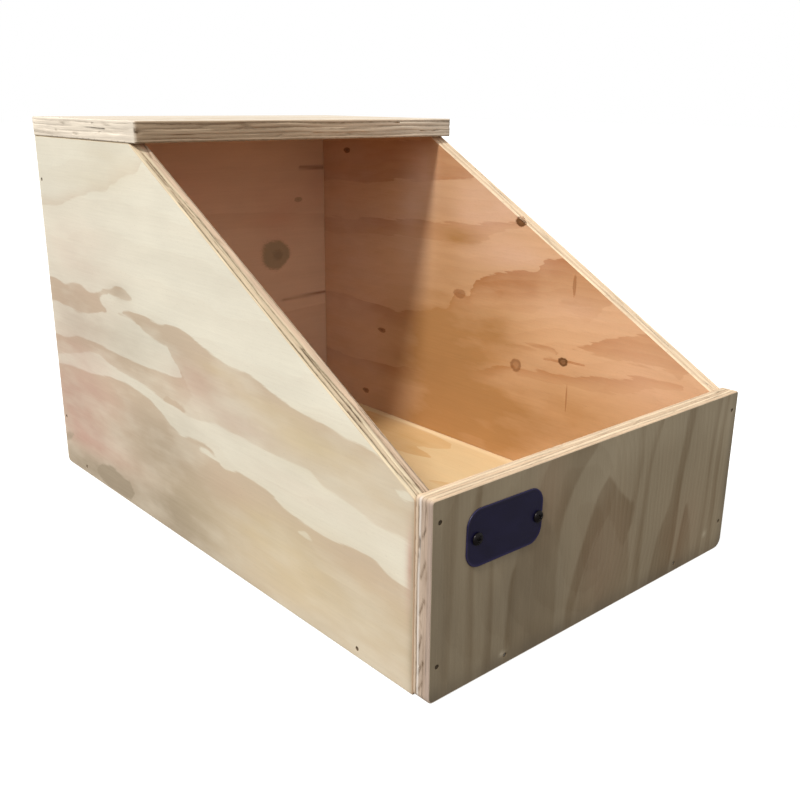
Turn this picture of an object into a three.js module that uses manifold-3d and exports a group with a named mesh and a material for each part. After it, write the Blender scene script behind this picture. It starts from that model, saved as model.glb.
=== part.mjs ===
// Open-fronted plywood nesting box: two side boards with a sloping front edge, a back, a floor,
// a low front board and a short roof board, butt-jointed and held by finishing nails.
// Millimetres, +Z up, the open front faces -Y, origin at the middle of the footprint.

import * as THREE from 'three';
import { mergeVertices } from 'three/addons/utils/BufferGeometryUtils.js';
import Module from 'manifold-3d';

const wasm = await Module();
wasm.setup();

// Overall sizes of the box
const boxWidth = 305;
const boxDepth = 490;
const boxHeight = 306.5;
const frontHeight = 124;
const roofDepth = 185;

// The sheet that five boards are cut from, and the roof board's thicker one
const plyThickness = 12.7;
const roofThickness = 15;
const arris = 0.9;
const arrisSteps = 2;

// Where the boards stand proud of each other
const roofFrontOverhang = 12;
const roofSideOverhang = 1;
const slopeFootDrop = 3;

// Corners rounded off with a sander
const frontCornerRadius = 4;
const sideCornerRadius = 5;
const roofCornerRadius = 2.5;
const cornerSteps = 4;

// The finishing nails and the holes that they made
const nailLength = 32;
const nailShankRadius = 0.8;
const nailHeadRadius = 1.4;
const nailHeadHeight = 1;
const nailNeckHeight = 0.7;
const nailPointLength = 2.4;
const nailSink = 0.8;
const nailClearance = 0.3;
const nailSides = 12;

// Places of the nails, each from the edge that it was measured from
const frontNailTopInset = 13.7;
const frontNailBottomInset = 22.5;
const crossNailSideInset = 63;
const floorNailFrontInset = 62.7;
const floorNailBackInset = 41.6;
const backNailTopInset = 35.7;
const backNailBottomInset = 45;
const roofNailFrontInset = 25;
const roofNailBackInset = 40;

// The blank plate on the front board
const plateWidth = 63;
const plateHeight = 37;
const plateThickness = 1;
const plateArris = 0.25;
const plateCornerRadius = 8;
const plateLeftInset = 26;
const plateTopInset = 13.8;
const plateTilt = THREE.MathUtils.degToRad(2);

// The two screws that hold the plate
const screwHeadRadius = 3.8;
const screwHeadRim = 0.6;
const screwHeadHeight = 2.1;
const domeShoulderShare = 0.55;
const domeShoulderDropShare = 0.25;
const screwShankRadius = 1.5;
const screwPointLength = 3;
const screwLength = 11;
const screwClearance = 0.3;
const screwSides = 20;
const leftScrewInset = 8;
const rightScrewInset = 4;

// How far every cutting tool runs past the surface that it enters
const overrun = 1;

// Planes of the assembled box
const leftFace = -boxWidth / 2;
const rightFace = boxWidth / 2;
const frontFace = -boxDepth / 2;
const backFace = boxDepth / 2;
const halfPly = plyThickness / 2;
const sideHeight = boxHeight - roofThickness;
const sideDepth = boxDepth - plyThickness;
const innerWidth = boxWidth - 2 * plyThickness;
const floorDepth = boxDepth - 2 * plyThickness;
const slopeFoot = frontHeight - slopeFootDrop;
const slopeTop = sideDepth - roofDepth + roofFrontOverhang;

const toX = new THREE.Vector3(1, 0, 0);
const toY = new THREE.Vector3(0, 1, 0);
const toZ = new THREE.Vector3(0, 0, 1);
const toMinusX = new THREE.Vector3(-1, 0, 0);
const toMinusY = new THREE.Vector3(0, -1, 0);
const toMinusZ = new THREE.Vector3(0, 0, -1);

function finish(color, roughness, metalness) {
  return new THREE.MeshStandardMaterial({ color, roughness, metalness });
}

const sideWood = finish(0xe2cfb0, 0.75, 0);
const innerWood = finish(0xd3a67c, 0.78, 0);
const floorWood = finish(0xe2bd8a, 0.75, 0);
const frontWood = finish(0xc4aa85, 0.78, 0);
const roofWood = finish(0xe6d6ba, 0.75, 0);
const nailSteel = finish(0x6f6a64, 0.45, 0.85);
const plateEnamel = finish(0x24254a, 0.35, 0.1);
const screwSteel = finish(0x1d1a19, 0.4, 0.7);

// A closed outline through corners [across, up, radius], with each corner rounded by its radius
function roundedOutline(corners) {
  const shape = new THREE.Shape();
  const count = corners.length;
  corners.forEach(([across, up, radius], i) => {
    const corner = new THREE.Vector2(across, up);
    const before = new THREE.Vector2(...corners[(i + count - 1) % count]);
    const after = new THREE.Vector2(...corners[(i + 1) % count]);
    const start = before.sub(corner).setLength(radius).add(corner);
    const end = after.sub(corner).setLength(radius).add(corner);
    if (i === 0) shape.moveTo(start.x, start.y);
    else shape.lineTo(start.x, start.y);
    if (radius > 0) shape.quadraticCurveTo(corner.x, corner.y, end.x, end.y);
  });
  shape.closePath();
  return shape;
}

function rectangleOutline(width, height, radius) {
  return roundedOutline([
    [0, 0, radius],
    [width, 0, radius],
    [width, height, radius],
    [0, height, radius],
  ]);
}

// A sheet cut to an outline, from z = 0 up to its thickness, with both faces' arrises eased
function sheet(outline, thickness, ease) {
  const geometry = new THREE.ExtrudeGeometry(outline, {
    depth: thickness - 2 * ease,
    bevelThickness: ease,
    bevelSize: ease,
    bevelOffset: -ease,
    bevelSegments: arrisSteps,
    curveSegments: cornerSteps,
  });
  return geometry.translate(0, 0, ease);
}

function mesh(name, geometry, material) {
  const piece = new THREE.Mesh(geometry, material);
  piece.name = name;
  return piece;
}

function board(name, outline, material, thickness = plyThickness) {
  return mesh(name, sheet(outline, thickness, arris), material);
}

// Turns a piece so that its outline runs along two of the box's axes
function stand(piece, acrossAxis, upAxis) {
  const throughAxis = new THREE.Vector3().crossVectors(acrossAxis, upAxis);
  const turn = new THREE.Matrix4().makeBasis(acrossAxis, upAxis, throughAxis);
  piece.quaternion.setFromRotationMatrix(turn);
  return piece;
}

function place(piece, x, y, z) {
  piece.position.set(x, y, z);
  return piece;
}

// Boards, each with its outline drawn from its own lower front or lower left corner
function sideBoard(name, left) {
  const outline = roundedOutline([
    [0, 0, 0],
    [sideDepth, 0, sideCornerRadius],
    [sideDepth, sideHeight, 0],
    [slopeTop, sideHeight, 0],
    [0, slopeFoot, 0],
  ]);
  return place(stand(board(name, outline, sideWood), toY, toZ), left, frontFace + plyThickness, 0);
}

function backPanel() {
  const piece = board('back_panel', rectangleOutline(innerWidth, sideHeight, 0), innerWood);
  return place(stand(piece, toX, toZ), leftFace + plyThickness, backFace, 0);
}

function floorPanel() {
  const piece = board('floor_panel', rectangleOutline(innerWidth, floorDepth, 0), floorWood);
  return place(piece, leftFace + plyThickness, frontFace + plyThickness, 0);
}

function frontBoard() {
  const outline = rectangleOutline(boxWidth, frontHeight, frontCornerRadius);
  const piece = board('front_board', outline, frontWood);
  return place(stand(piece, toX, toZ), leftFace, frontFace + plyThickness, 0);
}

function roofBoard() {
  const outline = rectangleOutline(boxWidth + 2 * roofSideOverhang, roofDepth, roofCornerRadius);
  const piece = board('roof_board', outline, roofWood, roofThickness);
  return place(piece, leftFace - roofSideOverhang, backFace - roofDepth, sideHeight);
}

// A turned shape about +Z through profile points [radius, height], listed from the lowest up
function turned(profile, sides) {
  const points = profile.map(([radius, height]) => new THREE.Vector2(radius, height));
  return new THREE.LatheGeometry(points, sides).rotateX(Math.PI / 2);
}

// A nail driven along +Z, whose face of entry is at z = 0
function nailShape() {
  const neck = nailSink + nailHeadHeight;
  return turned([
    [0, nailSink],
    [nailHeadRadius, nailSink],
    [nailHeadRadius, neck],
    [nailShankRadius, neck + nailNeckHeight],
    [nailShankRadius, nailSink + nailLength - nailPointLength],
    [0, nailSink + nailLength],
  ], nailSides);
}

function nailHole() {
  const neck = nailSink + nailHeadHeight;
  const shank = nailShankRadius + nailClearance;
  const head = nailHeadRadius + nailClearance;
  return turned([
    [0, -overrun],
    [head, -overrun],
    [head, neck],
    [shank, neck + nailNeckHeight],
    [shank, nailSink + nailLength - nailPointLength],
    [0, nailSink + nailLength + nailClearance],
  ], nailSides);
}

// A domed screw driven along +Z, whose head bears on the plane z = 0
function screwShape() {
  const domeHeight = screwHeadHeight - screwHeadRim;
  return turned([
    [0, -screwHeadHeight],
    [screwHeadRadius * domeShoulderShare, -screwHeadHeight + domeHeight * domeShoulderDropShare],
    [screwHeadRadius, -screwHeadRim],
    [screwHeadRadius, 0],
    [screwShankRadius, 0],
    [screwShankRadius, screwLength - screwPointLength],
    [0, screwLength],
  ], screwSides);
}

function screwHole() {
  const radius = screwShankRadius + screwClearance;
  return turned([
    [0, -overrun],
    [radius, -overrun],
    [radius, screwLength - screwPointLength],
    [0, screwLength + screwClearance],
  ], screwSides);
}

// Sets a piece, drawn along +Z, at a point of entry and turns it to be driven along a direction
function drive(piece, point, direction) {
  piece.position.copy(point);
  piece.quaternion.setFromUnitVectors(toZ, direction);
  return piece;
}

// A closed piece as a solid in the box's frame, with its shared corners merged
function toSolid(piece) {
  piece.updateWorldMatrix(true, false);
  const bare = piece.geometry.clone().applyMatrix4(piece.matrixWorld);
  bare.deleteAttribute('normal');
  bare.deleteAttribute('uv');
  const merged = mergeVertices(bare);
  return new wasm.Manifold(new wasm.Mesh({
    numProp: 3,
    vertProperties: Float32Array.from(merged.attributes.position.array),
    triVerts: Uint32Array.from(merged.index.array),
  }));
}

// A solid as geometry in the own frame of the piece that it is for
function toGeometry(solid, piece) {
  const { vertProperties, triVerts } = solid.getMesh();
  const geometry = new THREE.BufferGeometry();
  geometry.setAttribute('position', new THREE.BufferAttribute(vertProperties, 3));
  geometry.setIndex(new THREE.BufferAttribute(triVerts, 1));
  geometry.applyMatrix4(piece.matrixWorld.clone().invert());
  geometry.computeVertexNormals();
  return geometry;
}

function cut(piece, tools) {
  const solid = tools.reduce((rest, tool) => rest.subtract(toSolid(tool)), toSolid(piece));
  piece.geometry = toGeometry(solid, piece);
}

// The boards
const leftSide = sideBoard('left_side', leftFace);
const rightSide = sideBoard('right_side', rightFace - plyThickness);
const back = backPanel();
const floor = floorPanel();
const front = frontBoard();
const roof = roofBoard();

// Places of the nails, each list running along one edge of the box
const at = (x, y, z) => new THREE.Vector3(x, y, z);
const leftMiddle = leftFace + halfPly;
const rightMiddle = rightFace - halfPly;
const backMiddle = backFace - halfPly;
const frontNailHeights = [frontNailBottomInset, frontHeight - frontNailTopInset];
const backNailHeights = [backNailBottomInset, sideHeight - backNailTopInset];
const crossNailPlaces = [leftFace + crossNailSideInset, rightFace - crossNailSideInset];
const floorNailPlaces = [frontFace + floorNailFrontInset, backFace - floorNailBackInset];
const roofNailFront = frontFace + plyThickness + slopeTop + roofNailFrontInset;
const roofNailPlaces = [roofNailFront, backFace - roofNailBackInset];
const upFront = (x) => frontNailHeights.map((z) => at(x, frontFace, z));
const upBack = (x) => backNailHeights.map((z) => at(x, backMiddle, z));
const across = (y, z) => crossNailPlaces.map((x) => at(x, y, z));
const alongFloor = (x) => floorNailPlaces.map((y) => at(x, y, halfPly));
const alongRoof = (x) => roofNailPlaces.map((y) => at(x, y, boxHeight));

// Every joint's nails go through the first board into the end of the second
const nailJoints = [
  ['nail_front_to_left_side', front, leftSide, toY, upFront(leftMiddle)],
  ['nail_front_to_right_side', front, rightSide, toY, upFront(rightMiddle)],
  ['nail_front_to_floor', front, floor, toY, across(frontFace, halfPly)],
  ['nail_left_side_to_floor', leftSide, floor, toX, alongFloor(leftFace)],
  ['nail_right_side_to_floor', rightSide, floor, toMinusX, alongFloor(rightFace)],
  ['nail_left_side_to_back', leftSide, back, toX, upBack(leftFace)],
  ['nail_right_side_to_back', rightSide, back, toMinusX, upBack(rightFace)],
  ['nail_back_to_floor', back, floor, toMinusY, across(backFace, halfPly)],
  ['nail_roof_to_left_side', roof, leftSide, toMinusZ, alongRoof(leftMiddle)],
  ['nail_roof_to_right_side', roof, rightSide, toMinusZ, alongRoof(rightMiddle)],
  ['nail_roof_to_back', roof, back, toMinusZ, across(backMiddle, boxHeight)],
];

const nails = new THREE.Group();
for (const [joint, first, second, direction, points] of nailJoints) {
  const holes = points.map((point) => drive(mesh('hole', nailHole(), nailSteel), point, direction));
  cut(first, holes);
  cut(second, holes);
  points.forEach((point, i) => {
    nails.add(drive(mesh(`${joint}_${i + 1}`, nailShape(), nailSteel), point, direction));
  });
}

// The blank plate and its screws share a group that is turned a little out of level
const plateGroup = new THREE.Group();
plateGroup.position.x = leftFace + plateLeftInset + plateWidth / 2;
plateGroup.position.y = frontFace;
plateGroup.position.z = frontHeight - plateTopInset - plateHeight / 2;
plateGroup.rotation.y = plateTilt;

const plateOutline = rectangleOutline(plateWidth, plateHeight, plateCornerRadius);
const plateSheet = sheet(plateOutline, plateThickness, plateArris);
const plate = place(
  stand(mesh('name_plate', plateSheet, plateEnamel), toX, toZ),
  -plateWidth / 2,
  0,
  -plateHeight / 2,
);
plateGroup.add(plate);

const screwPlaces = [
  ['plate_screw_left', leftScrewInset - plateWidth / 2],
  ['plate_screw_right', plateWidth / 2 - rightScrewInset],
];
const screwHoles = new THREE.Group();
plateGroup.add(screwHoles);
for (const [name, along] of screwPlaces) {
  const seat = at(along, -plateThickness, 0);
  screwHoles.add(drive(mesh('hole', screwHole(), screwSteel), seat, toY));
  plateGroup.add(drive(mesh(name, screwShape(), screwSteel), seat, toY));
}
cut(front, screwHoles.children);
cut(plate, screwHoles.children);
plateGroup.remove(screwHoles);

// The whole box
const carcass = new THREE.Group();
carcass.add(leftSide, rightSide, back, floor);

const nestingBox = new THREE.Group();
nestingBox.add(carcass, front, roof, nails, plateGroup);

export default nestingBox;
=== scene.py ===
"""A hen's nesting box of thin plywood, dressed around its fixed frame.

Six boards are butt-jointed and nailed, and a small blank enamel plate is screwed to the front one. Each
board is one closed surface: two veneered faces and a band of ply edges that runs round them. Lengths are in
metres, but bands, patches, knots, rings and cracks are drawn in millimetres. +Z is up, +Y runs from the low
front board to the back and +X to the right.
"""

import logging
import math
from dataclasses import dataclass, field
from enum import Enum

import bpy
import numpy as np
from mathutils import Matrix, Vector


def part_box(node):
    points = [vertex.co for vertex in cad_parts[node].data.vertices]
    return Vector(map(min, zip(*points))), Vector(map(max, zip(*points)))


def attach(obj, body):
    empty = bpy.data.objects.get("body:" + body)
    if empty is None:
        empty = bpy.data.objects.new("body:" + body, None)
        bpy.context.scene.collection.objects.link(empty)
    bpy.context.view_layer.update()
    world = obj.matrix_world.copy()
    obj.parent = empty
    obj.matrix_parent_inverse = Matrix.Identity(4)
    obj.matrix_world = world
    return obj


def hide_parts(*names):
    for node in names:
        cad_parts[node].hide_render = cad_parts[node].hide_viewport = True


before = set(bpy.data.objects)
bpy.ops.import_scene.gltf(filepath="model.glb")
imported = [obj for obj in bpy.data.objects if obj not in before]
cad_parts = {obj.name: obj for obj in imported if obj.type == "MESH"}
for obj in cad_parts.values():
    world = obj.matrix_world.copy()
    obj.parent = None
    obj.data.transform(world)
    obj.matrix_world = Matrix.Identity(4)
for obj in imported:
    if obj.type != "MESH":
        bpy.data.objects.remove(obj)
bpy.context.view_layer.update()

LOG = logging.getLogger("nesting_box")
MM = 0.001

Numbers = tuple[tuple[float, ...], ...]
Socket = bpy.types.NodeSocket
Inputs = dict[str | int, object]
Colour = tuple[float, float, float, float]
Array = np.ndarray
Values = dict[str, Array]


def node_box(node: str) -> tuple[Array, Array]:
    """The lowest and the highest corner of a node's box."""
    low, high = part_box(node)
    return np.array(low), np.array(high)


BOX_CORNER = np.minimum(node_box("front_board")[0], node_box("left_side")[0])


class Way(Enum):
    """A direction of the frame, as a unit vector."""

    RIGHT = (1.0, 0.0, 0.0)
    LEFT = (-1.0, 0.0, 0.0)
    BACK = (0.0, 1.0, 0.0)
    FRONT = (0.0, -1.0, 0.0)
    UP = (0.0, 0.0, 1.0)
    DOWN = (0.0, 0.0, -1.0)

    @property
    def vector(self) -> Array:
        """The direction as an array."""
        return np.array(self.value)

    @property
    def axis(self) -> int:
        """The number of the frame's axis that the direction lies on."""
        return int(np.argmax(np.abs(self.value)))


class Crisp(Enum):
    """The side on which a band of late wood ends at once; on the other it fades out."""

    HIGH = "high"
    LOW = "low"
    BOTH = "both"


class Skin(Enum):
    """The material slots of a board, in order."""

    OUTER = 0
    INNER = 1
    EDGE = 2


def srgb(red: int, green: int, blue: int) -> Colour:
    """Turns a colour as seen on a screen, from 0 to 255, into a linear one with full alpha."""
    seen = np.array([red, green, blue]) / 255
    return (*np.where(seen <= 0.04045, seen / 12.92, ((seen + 0.055) / 1.055) ** 2.4).tolist(), 1.0)


def shades(*colours: tuple[int, int, int]) -> list[Colour]:
    """Several colours as seen on a screen, each turned into a linear one."""
    return [srgb(*colour) for colour in colours]


def smooth(value: Array, low: float, high: float) -> Array:
    """Rises from 0 at low to 1 at high along 3t² - 2t³, with t the share of the way."""
    t = np.clip((value - low) / (high - low), 0, 1)
    return t * t * (3 - 2 * t)


def waver(at: Array, seed: int, longest: float, octaves: int = 4) -> Array:
    """A smooth wandering line, the sum of sines that are each about half as long and tall as the last.

    Args:
        at: places along the line
        seed: picks the phases
        longest: the longest wave
        octaves: how many sines are summed

    Returns:
        Heights between about -1 and 1.
    """
    draw = np.random.default_rng(seed)
    total = np.zeros_like(at, dtype=float)
    for octave in range(octaves):
        share = 0.5**octave
        wave = longest * share * draw.uniform(0.8, 1.2)
        total += share * np.sin(math.tau * (at / wave + draw.uniform(0, 1)))
    return total / 1.6


def flow_line(at: Array, x: Array, y: Array) -> Array:
    """Reads a smooth line through given points.

    Between two points the line is a cubic whose slopes at both ends are the mean slopes there, and past
    the first and last point it keeps their value.

    Args:
        at: places where the line is read
        x: places of the points
        y: heights of the points

    Returns:
        The heights at these places.
    """
    slope = np.gradient(y, x) if len(x) > 2 else np.full(2, (y[1] - y[0]) / (x[1] - x[0]))
    before = np.clip(np.searchsorted(x, at) - 1, 0, len(x) - 2)
    width = x[before + 1] - x[before]
    t = np.clip((at - x[before]) / width, 0, 1)
    rise = t * t * (3 - 2 * t)
    start_pull = t * (1 - t) ** 2 * slope[before] * width
    end_pull = t * t * (t - 1) * slope[before + 1] * width
    return y[before] * (1 - rise) + y[before + 1] * rise + start_pull + end_pull


@dataclass(frozen=True)
class Streak:
    """A band of darker or paler wood between two lines that run with the grain.

    Attributes:
        lines: points as (along the grain, lower line, upper line) from the box's lower left front corner
        strength: how dark the band is, from 0 to 1
        crisp: the side on which it is darkest and ends at once
        fade_share: share of the strength that is left on the other side
    """

    lines: Numbers
    strength: float = 1.0
    crisp: Crisp = Crisp.HIGH
    fade_share: float = 0.35

    def read(self, along: Array, across: Array) -> tuple[Array, Array]:
        """Reads the band at many points.

        The reach is the lesser distance to the two lines, less what a point lies past the band's ends. The
        shade falls from the crisp side to the other one with the power 1.3 of the height in the band.

        Args:
            along: millimetres along the grain
            across: millimetres across the grain

        Returns:
            The reach inside the band in millimetres, negative outside it, and the shade.
        """
        x, low_line, high_line = np.array(self.lines, dtype=float).T
        low, high = flow_line(along, x, low_line), flow_line(along, x, high_line)
        past = np.maximum(np.maximum(x[0] - along, along - x[-1]), 0)
        height = np.clip((across - low) / np.maximum(high - low, 1), 0, 1)
        kept = {Crisp.HIGH: height, Crisp.LOW: 1 - height, Crisp.BOTH: np.ones_like(height)}[self.crisp]
        shade = self.strength * (self.fade_share + (1 - self.fade_share) * kept**1.3)
        return np.minimum(high - across, across - low) - past, shade


@dataclass(frozen=True)
class Cloud:
    """A soft patch of another tint: a bell-shaped hill over the face.

    Attributes:
        middle: its middle, along and across the grain
        reach: half-widths of the hill, along and across
        strength: height of the hill
    """

    middle: tuple[float, float]
    reach: tuple[float, float]
    strength: float

    def hill(self, along: Array, across: Array) -> Array:
        """The hill's height, strength times e to the minus squared distance."""
        a, c = (along - self.middle[0]) / self.reach[0], (across - self.middle[1]) / self.reach[1]
        return self.strength * np.exp(-(a * a + c * c))


def clouds(*rows: tuple[float, ...]) -> tuple[Cloud, ...]:
    """Patches, each from its middle along and across, its reach along and across, and its strength."""
    return tuple(Cloud(row[:2], row[2:4], row[4]) for row in rows)


@dataclass(frozen=True)
class Knot:
    """A knot in the veneer, modelled as shallow rings in the face.

    Attributes:
        middle: its middle, along and across the grain
        radius: radius across the grain
        stretch: how much longer it is along the grain
        wood: how much browner its wood is, from 0 to 1
        rim: darkness of its rim
        heart: darkness of its heart
        lean: how far the heart lies off the middle, along and across the grain
    """

    middle: tuple[float, float]
    radius: float
    stretch: float = 1.15
    wood: float = 0.6
    rim: float = 0.5
    heart: float = 0.0
    lean: tuple[float, float] = (0.0, 0.0)


@dataclass(frozen=True)
class Veneer:
    """The figure of one face: what grew there and where.

    Attributes:
        streaks: bands of late wood
        gaps: bands of pale early wood that split the streaks
        knots: the knots
        blush: patches of pink; one on the right side's inner face is painted light just behind the roof's
            shadow edge
        dusk: patches of the finish's grey tint; on the right side's inner face a paler grey painted as light
            that lifts the shade, and painted shade at the foot of the front board and at the back of the
            floor
        glow: patches of the finish's gold tint, mostly yellower wood; on the right side's inner face a
            browner tint that is partly painted shade on the lit wood
        stains: bands that a stain has greyed, with a crisp edge
        ring_gap: distance between two faint growth rings
        arch: point that the faint rings arch over, along and across
        arch_pull: how strongly they arch
        seed: picks the rings' wander
    """

    streaks: tuple[Streak, ...] = ()
    gaps: tuple[Streak, ...] = ()
    knots: tuple[Knot, ...] = ()
    blush: tuple[Cloud, ...] = ()
    dusk: tuple[Cloud, ...] = ()
    glow: tuple[Cloud, ...] = ()
    stains: tuple[Streak, ...] = ()
    ring_gap: float = 14.0
    arch: tuple[float, float] = (200.0, 150.0)
    arch_pull: float = 0.0
    seed: int = 1

    def figure(self, along: Array, across: Array) -> Values:
        """Works out the grain at many points of the face.

        The bands are joined by taking the greatest reach and shade, and split by the least reach. A ring's
        number is its distance across the grain, plus a wander and an arch that grows with the square root
        of one plus the squared distance from the arch's middle, over the gap between two rings.

        Args:
            along: millimetres along the grain, from the box's lower left front corner
            across: millimetres across the grain

        Returns:
            Arrays named bands, tone, rings, blush, dusk and glow.
        """
        bands, tone = np.full(along.shape, -50.0), np.zeros(along.shape)
        for streak in self.streaks:
            reach, shade = streak.read(along, across)
            bands = np.maximum(bands, reach)
            tone = np.maximum(tone, shade * smooth(reach, -4, -1.5))
        for gap in self.gaps:
            bands = np.minimum(bands, -gap.read(along, across)[0])
        a, c = along - self.arch[0], across - self.arch[1]
        drift = 9 * waver(a, self.seed, 310) + 2.5 * waver(a + 2 * c, self.seed + 1, 120, 2)
        for knot in self.knots:
            ka = (along - knot.middle[0]) / (knot.radius * 3)
            kc = (across - knot.middle[1]) / (knot.radius * 2)
            drift += np.sign(kc) * knot.radius * np.exp(-(ka * ka) - np.abs(kc))
        arch = self.arch_pull * np.sqrt(a * a + 6 * c * c + 144)
        hills = {
            name: sum((cloud.hill(along, across) for cloud in getattr(self, name)), np.zeros(along.shape))
            for name in ("blush", "dusk", "glow")
        }
        for stain in self.stains:
            reach, shade = stain.read(along, across)
            hills["dusk"] = hills["dusk"] + shade * smooth(reach, -1.0, 1.4)
        rings = (c + drift + arch) / self.ring_gap
        return {"bands": bands, "tone": tone, "rings": rings} | hills


@dataclass(frozen=True)
class Crack:
    """A dark line in a board's edge: an open glue line, a split or torn end grain, and in one place painted
    shade along an arris.

    Attributes:
        side: the way that the edge faces, in the board's own two directions
        line: points as (place along that edge, depth under the outer face)
        darkness: how dark it is, from 0 to 1
        width: half-width of the line
        dip: how deep it is
    """

    side: tuple[float, float]
    line: Numbers
    darkness: float = 0.7
    width: float = 0.4
    dip: float = 0.2

    def read(self, loop: Array, normal: Array, depth: Array) -> Array:
        """How near each point of the band of edges is to the line, from 0 to 1.

        Args:
            loop: points round the board, in metres
            normal: the way that the edge faces at each of them
            depth: depth of each row, in metres

        Returns:
            Nearness as rows of places: e to the minus squared distance over the width.
        """
        place = loop[:, 1 if self.side[0] else 0] / MM
        x, y = np.array(self.line, dtype=float).T
        past = np.maximum(np.maximum(x[0] - place, place - x[-1]), 0)
        off = np.abs(depth[:, None] / MM - flow_line(place, x, y)[None, :])
        near = np.exp(-((off / self.width) ** 2) - (past[None, :] / 1.5) ** 2)
        return near * (normal @ np.array(self.side) > 0.5)


class Bench:
    """Lays out the nodes of a material or of the sky."""

    def __init__(self, owner: bpy.types.Material | bpy.types.World, ending: str = "OutputMaterial") -> None:
        """Starts an empty tree with an output node."""
        self.owner = owner
        owner.use_nodes = True
        self.tree = owner.node_tree
        self.tree.nodes.clear()
        self.output = self.node(ending)

    def node(self, kind: str, inputs: Inputs | None = None, **settings: object) -> bpy.types.Node:
        """Adds a node.

        Args:
            kind: the node's type, without its ShaderNode prefix
            inputs: its inputs by name or number, each a socket to link or a value of its own
            settings: the node's own settings

        Returns:
            The node.
        """
        made = self.tree.nodes.new("ShaderNode" + kind)
        for key, value in settings.items():
            setattr(made, key, value)
        for key, value in (inputs or {}).items():
            if isinstance(value, Socket):
                self.tree.links.new(value, made.inputs[key])
            else:
                made.inputs[key].default_value = value
        return made

    def sum(self, operation: str, *values: object, clamp: bool = False) -> Socket:
        """The result of a Math node."""
        return self.node("Math", dict(enumerate(values)), operation=operation, use_clamp=clamp).outputs[0]

    def times(self, first: object, *others: object, clamp: bool = False) -> Socket:
        """The product of some numbers."""
        for other in others:
            first = self.sum("MULTIPLY", first, other, clamp=clamp)
        return first

    def mix(self, amount: object, first: object, second: object) -> Socket:
        """Two colours mixed by an amount."""
        return self.node("Mix", {0: amount, 6: first, 7: second}, data_type="RGBA").outputs[2]

    def scaled(self, colour: object, factor: object) -> Socket:
        """A colour made brighter or darker by a factor."""
        return self.node("VectorMath", {0: colour, "Scale": factor}, operation="SCALE").outputs[0]

    def value(self, name: str) -> Socket:
        """A number that the mesh carries at its points."""
        return self.node("Attribute", attribute_name=name).outputs["Fac"]

    def step(self, value: object, low: float, high: float, start: float = 0.0, end: float = 1.0) -> Socket:
        """A smooth step from start to end as the value goes from low to high."""
        inputs = {"Value": value, "From Min": low, "From Max": high, "To Min": start, "To Max": end}
        return self.node("MapRange", inputs, interpolation_type="SMOOTHSTEP").outputs[0]

    def noise(self, place: Socket, lengths: list[float], detail: float, rough: float) -> Socket:
        """Noise between 0 and 1 in grains that are so long on the place's three axes."""
        scale = [1 / length for length in lengths]
        place = self.node("Mapping", {"Vector": place, "Scale": scale}).outputs[0]
        inputs = {"Vector": place, "Scale": 1.0, "Detail": detail, "Roughness": rough}
        return self.node("TexNoise", inputs).outputs["Fac"]

    def grain(self, axis: int, long: float, short: float, detail: float = 2.0, rough: float = 0.5) -> Socket:
        """Noise on object coordinates, in grains so many millimetres long on one axis and short on two."""
        lengths = [short * MM] * 3
        lengths[axis] = long * MM
        return self.noise(self.node("TexCoord").outputs["Object"], lengths, detail, rough)

    def edge_grain(self, along: float, through: float, detail: float = 2.0, rough: float = 0.5) -> Socket:
        """Noise on the board's own map, in grains so many millimetres long along and through the edge."""
        place = self.node("UVMap", uv_map="board").outputs[0]
        return self.noise(place, [along * MM, through * MM, 1.0], detail, rough)

    def surface(self, shader: Socket) -> bpy.types.Material | bpy.types.World:
        """Ends the tree with a shader."""
        self.tree.links.new(shader, self.output.inputs["Surface"])
        return self.owner

    def principled(
        self, colour: Socket, height: Socket, bump: tuple[float, float], others: Inputs
    ) -> bpy.types.Material:
        """Ends a material with a principled shader.

        Args:
            colour: its base colour
            height: the relief that shades it
            bump: how strong the relief is, and how high in millimetres
            others: its other inputs

        Returns:
            The material.
        """
        relief = {"Strength": bump[0], "Distance": bump[1] * MM, "Height": height}
        normal = self.node("Bump", relief).outputs[0]
        shader = self.node("BsdfPrincipled", {"Base Color": colour, "Normal": normal} | others)
        return self.surface(shader.outputs[0])


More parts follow.
